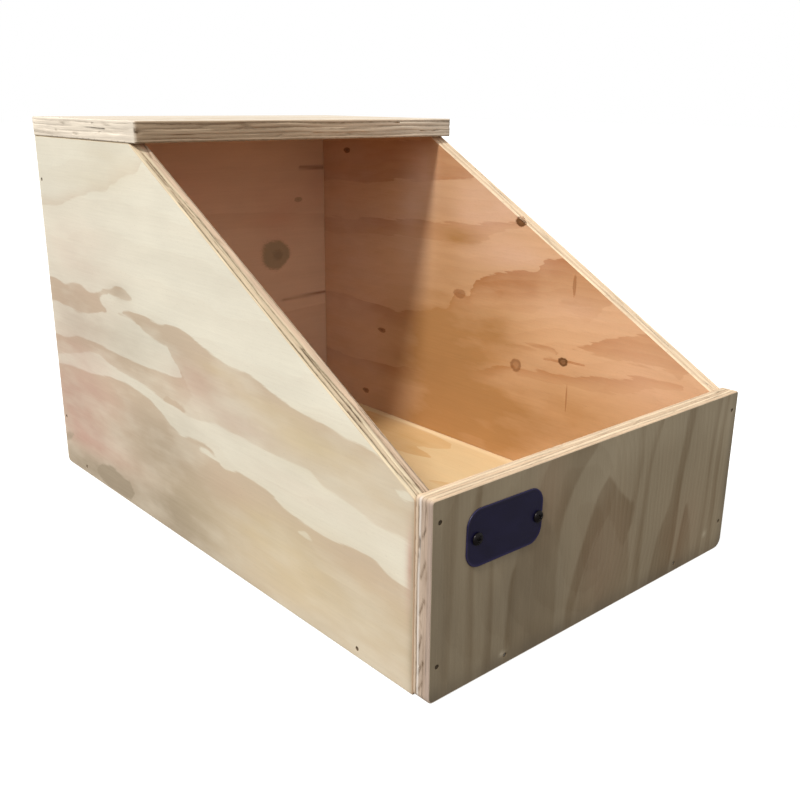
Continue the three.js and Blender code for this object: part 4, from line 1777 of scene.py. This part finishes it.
@dataclass
class PlateScrew(Fastener):
    """A domed black screw with a cross recess and a coarse thread.

    Attributes:
        head: radius of the head
        head_height: height of the dome
        shank: radius of the shank
        recess: half-length of the cross recess's arms
        recess_width: half-width of the arms
        recess_depth: depth of the recess
        turned: angle that the cross has stopped at
        pitch: height of one turn of the thread
        thread_share: how deep the thread is cut, as a share of the shank's radius
        dome_rings: how many rings of points the dome has
    """

    sides: int = 72
    head: float = 3.8 * MM
    head_height: float = 2.1 * MM
    shank: float = 1.5 * MM
    recess: float = 1.9 * MM
    recess_width: float = 0.42 * MM
    recess_depth: float = 1.1 * MM
    turned: float = 0.35
    pitch: float = 1.4 * MM
    thread_share: float = 0.16
    dome_rings: int = 25

    def profile(self, length: float) -> Array:
        """A dome of fine rings, a flat underside, and a threaded shank with a sharp point."""
        radii = np.linspace(0, self.head - 0.25 * MM, self.dome_rings + 1)
        dome = self.head_height * (1 - np.sqrt(np.clip(1 - (radii / self.head) ** 2 * 0.97, 0, 1))) * 0.82
        rim = [(self.head, dome[-1] + 0.3 * MM), (self.head, self.head_height - 0.2 * MM)]
        under = [(self.head - 0.2 * MM, self.head_height), (self.shank, self.head_height)]
        depths = np.linspace(self.head_height + 0.3 * MM, length - 3 * MM, 44)
        shank = [(self.shank, depth) for depth in depths] + [(0.5 * self.shank, length - MM), (0, length)]
        return np.array([*zip(radii, dome)] + rim + under + shank)

    def carve(self, points: Array) -> Array:
        """Sinks the cross and cuts the thread.

        The cross is deep where either turned coordinate is under the arm's half-width and the other under
        its half-length. The thread narrows the shank by the sawtooth of depth over pitch less turn over a
        full circle.
        """
        cos, sin = math.cos(self.turned), math.sin(self.turned)
        x = points[..., 0] * cos + points[..., 1] * sin
        y = -points[..., 0] * sin + points[..., 1] * cos
        ring = np.arange(len(points))[:, None]

        def inside(place: Array, half: float) -> Array:
            """Falls softly from 1 to 0 where a place passes this half-width."""
            return smooth(-np.abs(place), -half - 0.16 * MM, -half + 0.16 * MM)

        arm_x = inside(y, self.recess_width) * inside(x, self.recess)
        arm_y = inside(x, self.recess_width) * inside(y, self.recess)
        on_top = (points[..., 2] < self.head_height * 0.85) & (ring < self.dome_rings)
        points[..., 2] += np.where(on_top, self.recess_depth * np.maximum(arm_x, arm_y), 0.0)
        turn = np.linspace(0, 1, self.sides, endpoint=False)[None, :]
        saw = np.mod(points[..., 2] / self.pitch - turn, 1.0)
        narrow = np.where(ring > self.dome_rings + 4, 1 - self.thread_share * np.abs(2 * saw - 1), 1.0)
        points[..., :2] *= narrow[..., None]
        return points


@dataclass
class NamePlate:
    """The thin enamelled plate on the front board, left blank.

    Attributes:
        node: the node that it stands for
        slot: its material slot in the record
        width: its width before it is tilted
        height: its height before it is tilted
        lift: how far above the middle of its place it sits
        corner: radius of its corners
        tilt: how far its right end hangs down, in degrees
        rim: width of the rolled rim
        rings: how many rings of points the plate has from its rim to its middle
        around: how many points a ring has
    """

    node: str = "name_plate"
    slot: str = "plate_enamel"
    width: float = 63 * MM
    height: float = 35.6 * MM
    lift: float = 0.6 * MM
    corner: float = 10.5 * MM
    tilt: float = 0.8
    rim: float = 1.1 * MM
    rings: int = 26
    around: int = 240

    def outline(self, inset: Array) -> Array:
        """Rings that run round the plate, each a rounded rectangle so far inside its edge.

        A point is the middle of the nearest corner's arc plus that arc's radius at its angle; as the
        inset passes the corner's radius the arc shrinks to a point and the ring becomes a rectangle.

        Args:
            inset: how far inside the edge each ring runs

        Returns:
            The points, as rings of (x, z) about the plate's middle.
        """
        quarter = self.around // 4
        arc_count = quarter // 2
        way_share = np.linspace(0, 1, quarter - arc_count + 2)[1:-1, None]
        half = np.array([self.width, self.height]) / 2
        corners = np.array([(1, 1), (-1, 1), (-1, -1), (1, -1), (1, 1)])
        rows = []
        for distance in inset:
            radius = max(self.corner - distance, 0.4 * MM)
            arm = half - distance - radius
            points = []
            for number, (here, after) in enumerate(zip(corners[:-1], corners[1:])):
                bend = radius * toward(np.radians(np.linspace(90 * number, 90 * (number + 1), arc_count)))
                arc, end = here * arm + bend, after * arm + bend[-1]
                points += [arc, arc[-1] * (1 - way_share) + end * way_share]
            rows.append(np.concatenate(points))
        return np.array(rows)

    def build(self) -> bpy.types.Object:
        """Builds the plate as nested rings: a flat back, a rounded edge, a raised rim and a level field."""
        low, high = node_box(self.node)
        middle, thick = (low + high) / 2, high[1] - low[1]
        edge, dish = 0.32 * MM, 0.3 * MM
        reach = self.height / 2 - 0.6 * MM
        inner = np.linspace(0.5, reach / MM, self.rings)
        front_inset = np.concatenate([[0.0, 0.05, 0.16, 0.32], inner]) * MM
        lift = thick * np.sqrt(np.clip(1 - (1 - np.clip(front_inset / edge, 0, 1)) ** 2, 0, 1))
        sunk = dish * smooth(front_inset, self.rim * 0.5, self.rim * 1.4)
        height = 0.3 * thick + 0.7 * lift - sunk
        inset = np.concatenate([front_inset[::-1], [0.25 * MM, reach]])
        depth = np.concatenate([thick - height[::-1], [thick, thick]])
        angle = math.radians(self.tilt)
        turn = np.array([[math.cos(angle), math.sin(angle)], [-math.sin(angle), math.cos(angle)]])
        flat = self.outline(inset) @ turn.T
        shape = flat.shape[:2]
        points = np.concatenate([flat, np.broadcast_to(depth[:, None, None], shape + (1,))], axis=-1)
        # Painted highlight: this value brightens the enamel along the plate's rolled rim.
        painted_rim_highlight = np.exp(-((inset - 0.5 * self.rim) / (0.45 * self.rim)) ** 2)
        painted_rim_highlight[-2:] = 0
        work = Patchwork(("rim",))
        index = work.add_points(points, {"rim": np.broadcast_to(painted_rim_highlight[:, None], shape)}).reshape(shape)
        front, back = work.add_points(np.array([[0, 0, depth[0]], [0, 0, depth[-1]]]))
        for lower, upper in zip(index[:-1], index[1:]):
            work.add_faces(sewn(lower, upper)[:, [0, 3, 2, 1]])
        work.add_faces(fan(index[0], front))
        work.add_faces(fan(index[-1], back)[:, ::-1])
        axes = np.array([Way.RIGHT.value, Way.UP.value, Way.BACK.value])
        origin = np.array([middle[0], low[1], middle[2] + self.lift])
        piece = work.to_object("name_plate_enamel", axes, origin)
        finish = EnamelFinish("plate enamel", srgb(24, 21, 52), srgb(50, 43, 80))
        piece.data.materials.append(finish.make())
        settle(piece, self.slot, self.node)
        return piece


@dataclass
class Nails:
    """All the finishing nails, each in place of its node."""

    slot: str = "nail_steel"

    def build(self) -> None:
        """Builds every nail; the two that hold the front board to the floor are brighter."""
        dull = SteelFinish("nail steel dull", srgb(96, 82, 66), srgb(58, 46, 34), 0.3, 0.6).make()
        bright = SteelFinish("nail steel bright", srgb(190, 188, 184), srgb(120, 112, 104), 0.8, 0.35).make()
        ways = {
            "nail_front_": Way.BACK,
            "nail_left_side_": Way.RIGHT,
            "nail_right_side_": Way.LEFT,
            "nail_back_": Way.FRONT,
            "nail_roof_": Way.DOWN,
        }
        for start, way in ways.items():
            for name in sorted(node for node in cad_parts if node.startswith(start)):
                finish = bright if name.startswith("nail_front_to_floor") else dull
                FinishingNail(name, self.slot, way, finish).build()


@dataclass
class PlateScrews:
    """The two screws that hold the plate."""

    slot: str = "screw_steel"

    def build(self) -> None:
        """Builds both screws, each stopped at its own angle."""
        finish = SteelFinish("screw black oxide", srgb(34, 30, 30), srgb(18, 16, 16), 0.7, 0.3).make()
        for name, turned in (("plate_screw_left", 0.35), ("plate_screw_right", 1.0)):
            PlateScrew(name, self.slot, Way.BACK, finish, turned=turned).build()


@dataclass(frozen=True)
class Lamp:
    """A distant lamp.

    Attributes:
        name: its name
        strength: its strength
        spread: how wide it looks, in degrees
        way: the direction in which its light falls
    """

    name: str
    strength: float
    spread: float
    way: tuple[float, float, float]

    def build(self) -> None:
        """Makes the lamp, whose own -Z axis lies along its light."""
        data = bpy.data.lights.new(self.name, "SUN")
        data.energy, data.angle = self.strength, math.radians(self.spread)
        data.color = (1.0, 0.985, 0.955)
        fall = np.array(self.way) / np.linalg.norm(self.way)
        side = np.cross(fall, [0, 0, 1])
        side /= np.linalg.norm(side)
        turn = Matrix(np.column_stack([side, np.cross(-fall, side), -fall]).tolist())
        show(self.name, data).matrix_world = turn.to_4x4()


@dataclass
class Studio:
    """The white floor, the light and the camera.

    Attributes:
        floor_size: side of the square floor
        eye: where the camera stands
        heading: how far the camera looks to the right of +Y, in degrees
        pitch: how far it looks down, in degrees
        roll: how far it is turned about its own axis, in degrees
        lens: focal length in millimetres, on the sensor below
        sensor: width of the sensor in millimetres
        lamps: the main light from the upper left, and a broad one from the front
        sky_strength: strength of the light from all round
    """

    floor_size: float = 24.0
    eye: tuple[float, float, float] = (-0.4598, -0.5656, 0.3217)
    heading: float = 41.58
    pitch: float = 17.79
    roll: float = 0.54
    lens: float = 42.0
    sensor: float = 36.0
    lamps: tuple[Lamp, ...] = (
        Lamp("main_light", 2.42, 9.0, (0.9, 0.15, -1.0)),
        Lamp("haze_light", 0.37, 60.0, (0.9, 0.55, -0.65)),
    )
    sky_strength: float = 0.66

    def build_camera(self) -> None:
        """Makes the camera: it looks along +Y, is rolled, pitched down and then turned to its heading."""
        data = bpy.data.cameras.new("camera")
        data.lens, data.sensor_width = self.lens, self.sensor
        data.clip_start, data.clip_end = 0.01, 60.0
        camera = show("camera", data)
        turn = Matrix.Rotation(math.radians(-self.heading), 4, "Z")
        tip = Matrix.Rotation(math.radians(90 - self.pitch), 4, "X")
        lean = Matrix.Rotation(math.radians(self.roll), 4, "Z")
        camera.matrix_world = Matrix.Translation(self.eye) @ turn @ tip @ lean
        bpy.context.scene.camera = camera

    def build_floor(self) -> None:
        """Makes the floor, white to the eye but for the soft shadow, and a dull grey to the light."""
        half = self.floor_size / 2
        corners = [(-half, -half), (half, -half), (half, half), (-half, half)]
        mesh = bpy.data.meshes.new("studio_floor")
        mesh.from_pydata([(x, y, -0.3 * MM) for x, y in corners], [], [(0, 1, 2, 3)])
        bench = Bench(bpy.data.materials.new("studio floor white"))
        eye = bench.node("LightPath").outputs["Is Camera Ray"]
        tint = bench.mix(bench.grain(0, 500, 500), (0.6, 0.6, 0.59, 1.0), (0.62, 0.62, 0.62, 1.0))
        seen = bench.node("BsdfDiffuse", {"Color": tint})
        glow = bench.node("Emission", {"Color": (1.0, 1.0, 1.0, 1.0), "Strength": 0.7})
        bright = bench.node("AddShader", {0: seen.outputs[0], 1: glow.outputs[0]})
        dull = bench.node("BsdfDiffuse", {"Color": (0.17, 0.16, 0.15, 1.0)})
        chosen = bench.node("MixShader", {0: eye, 1: dull.outputs[0], 2: bright.outputs[0]})
        mesh.materials.append(bench.surface(chosen.outputs[0]))
        show("studio_floor", mesh)

    def build_light(self) -> None:
        """Makes the lamps and the even light from all round, which the eye sees as white."""
        for lamp in self.lamps:
            lamp.build()
        bench = Bench(bpy.data.worlds.new("studio_sky"), "OutputWorld")
        eye = bench.node("LightPath").outputs["Is Camera Ray"]
        white = bench.node("Background", {"Color": (1.0, 1.0, 1.0, 1.0), "Strength": 1.0})
        sky = bench.node("Background", {"Color": (0.97, 0.985, 1.0, 1.0), "Strength": self.sky_strength})
        chosen = bench.node("MixShader", {0: eye, 1: sky.outputs[0], 2: white.outputs[0]})
        bpy.context.scene.world = bench.surface(chosen.outputs[0])
        bpy.context.scene.view_settings.view_transform = "Standard"

    def build(self) -> None:
        """Sets up the camera, the floor and the lights."""
        self.build_camera()
        self.build_floor()
        self.build_light()
        LOG.info("studio: camera, floor and lights")


def boards() -> list[PlyBoard]:
    """The six boards with their places, grain directions and finishes."""
    cream = VeneerFinish("veneer cream", *shades(
        (233, 226, 207), (206, 186, 161), (200, 164, 147), (166, 150, 128), (212, 193, 156), (120, 100, 74),
    ), soft=1.0)
    # In this finish the grey is paler than the wood: on the right side's inner face it is painted light in
    # the shade, and the gold there is partly painted shade.
    amber = VeneerFinish("veneer amber", *shades(
        (214, 171, 130), (176, 118, 72), (230, 190, 162), (222, 190, 168), (177, 131, 82), (110, 72, 38),
    ), ring_strength=0.1, fray=16, fray_length=50)
    rust = VeneerFinish("veneer rust", *shades(
        (216, 184, 160), (190, 150, 122), (212, 166, 142), (140, 104, 84), (200, 160, 120), (150, 138, 114),
    ), ring_strength=0.08)
    honey = VeneerFinish("veneer honey", *shades(
        (230, 204, 157), (214, 173, 115), (248, 226, 186), (196, 156, 110), (220, 180, 120),
    ))
    umber = VeneerFinish("veneer umber", *shades(
        (160, 144, 118), (126, 106, 78), (160, 132, 106), (118, 106, 88), (232, 218, 190), (84, 70, 50),
    ), ring_strength=0.12, fibre_strength=0.16, fray=3.0, soft=2.2)
    ivory = VeneerFinish("veneer ivory", *shades(
        (229, 216, 197), (206, 183, 153), (227, 196, 172), (190, 175, 150), (214, 195, 160),
    ), ring_strength=0.3)
    tawny = VeneerFinish("veneer tawny", *shades(
        (234, 218, 192), (202, 172, 132), (220, 186, 160), (180, 162, 136), (220, 196, 152),
    ), ring_strength=0.6)
    pale_edge = PlyEdgeFinish("ply edge pale", *shades((236, 212, 180), (212, 180, 148)), stray=0.35)
    pink_edge = PlyEdgeFinish("ply edge pink", *shades(
        (220, 202, 171), (197, 171, 141), (176, 148, 122), (208, 179, 153),
    ))
    roof_edge = PlyEdgeFinish("ply edge roof", *shades(
        (228, 204, 176), (200, 174, 146), (180, 156, 128), (240, 228, 210),
    ), stray=0.12, fibre=0.16)
    return [
        LeftSide(
            "left_side", "side_wood", Way.BACK, Way.UP, Way.RIGHT, False, "nail_left_side_",
            cream, amber, pink_edge, corner=5 * MM, seam=0.5, seed=101,
        ),
        RightSide(
            "right_side", "side_wood", Way.BACK, Way.UP, Way.LEFT, False, "nail_right_side_",
            tawny, amber, pale_edge, corner=5 * MM, seam=0.4, seed=131,
        ),
        BackPanel(
            "back_panel", "inner_wood", Way.RIGHT, Way.UP, Way.FRONT, False, "nail_back_",
            tawny, rust, pale_edge, corner=0.0, seed=151,
        ),
        FloorPanel(
            "floor_panel", "floor_wood", Way.BACK, Way.RIGHT, Way.UP, False, "",
            tawny, honey, pale_edge, step=2.6 * MM, corner=0.0, seed=171,
        ),
        FrontBoard(
            "front_board", "front_wood", Way.RIGHT, Way.UP, Way.BACK, True, "nail_front_",
            umber, amber, pale_edge, step=1.5 * MM, corner=4 * MM, seed=191,
        ),
        RoofBoard(
            "roof_board", "roof_wood", Way.RIGHT, Way.BACK, Way.DOWN, False, "nail_roof_",
            ivory, rust, roof_edge, step=1.7 * MM, corner=2.5 * MM, seam=0.35, seed=211,
        ),
    ]


def main() -> None:
    """Builds the studio and then the box, piece by piece."""
    logging.basicConfig(level=logging.INFO, format="%(name)s %(message)s")
    Studio().build()
    for board in boards():
        board.build()
    Nails().build()
    NamePlate().build()
    PlateScrews().build()


if __name__ == "__main__":
    main()
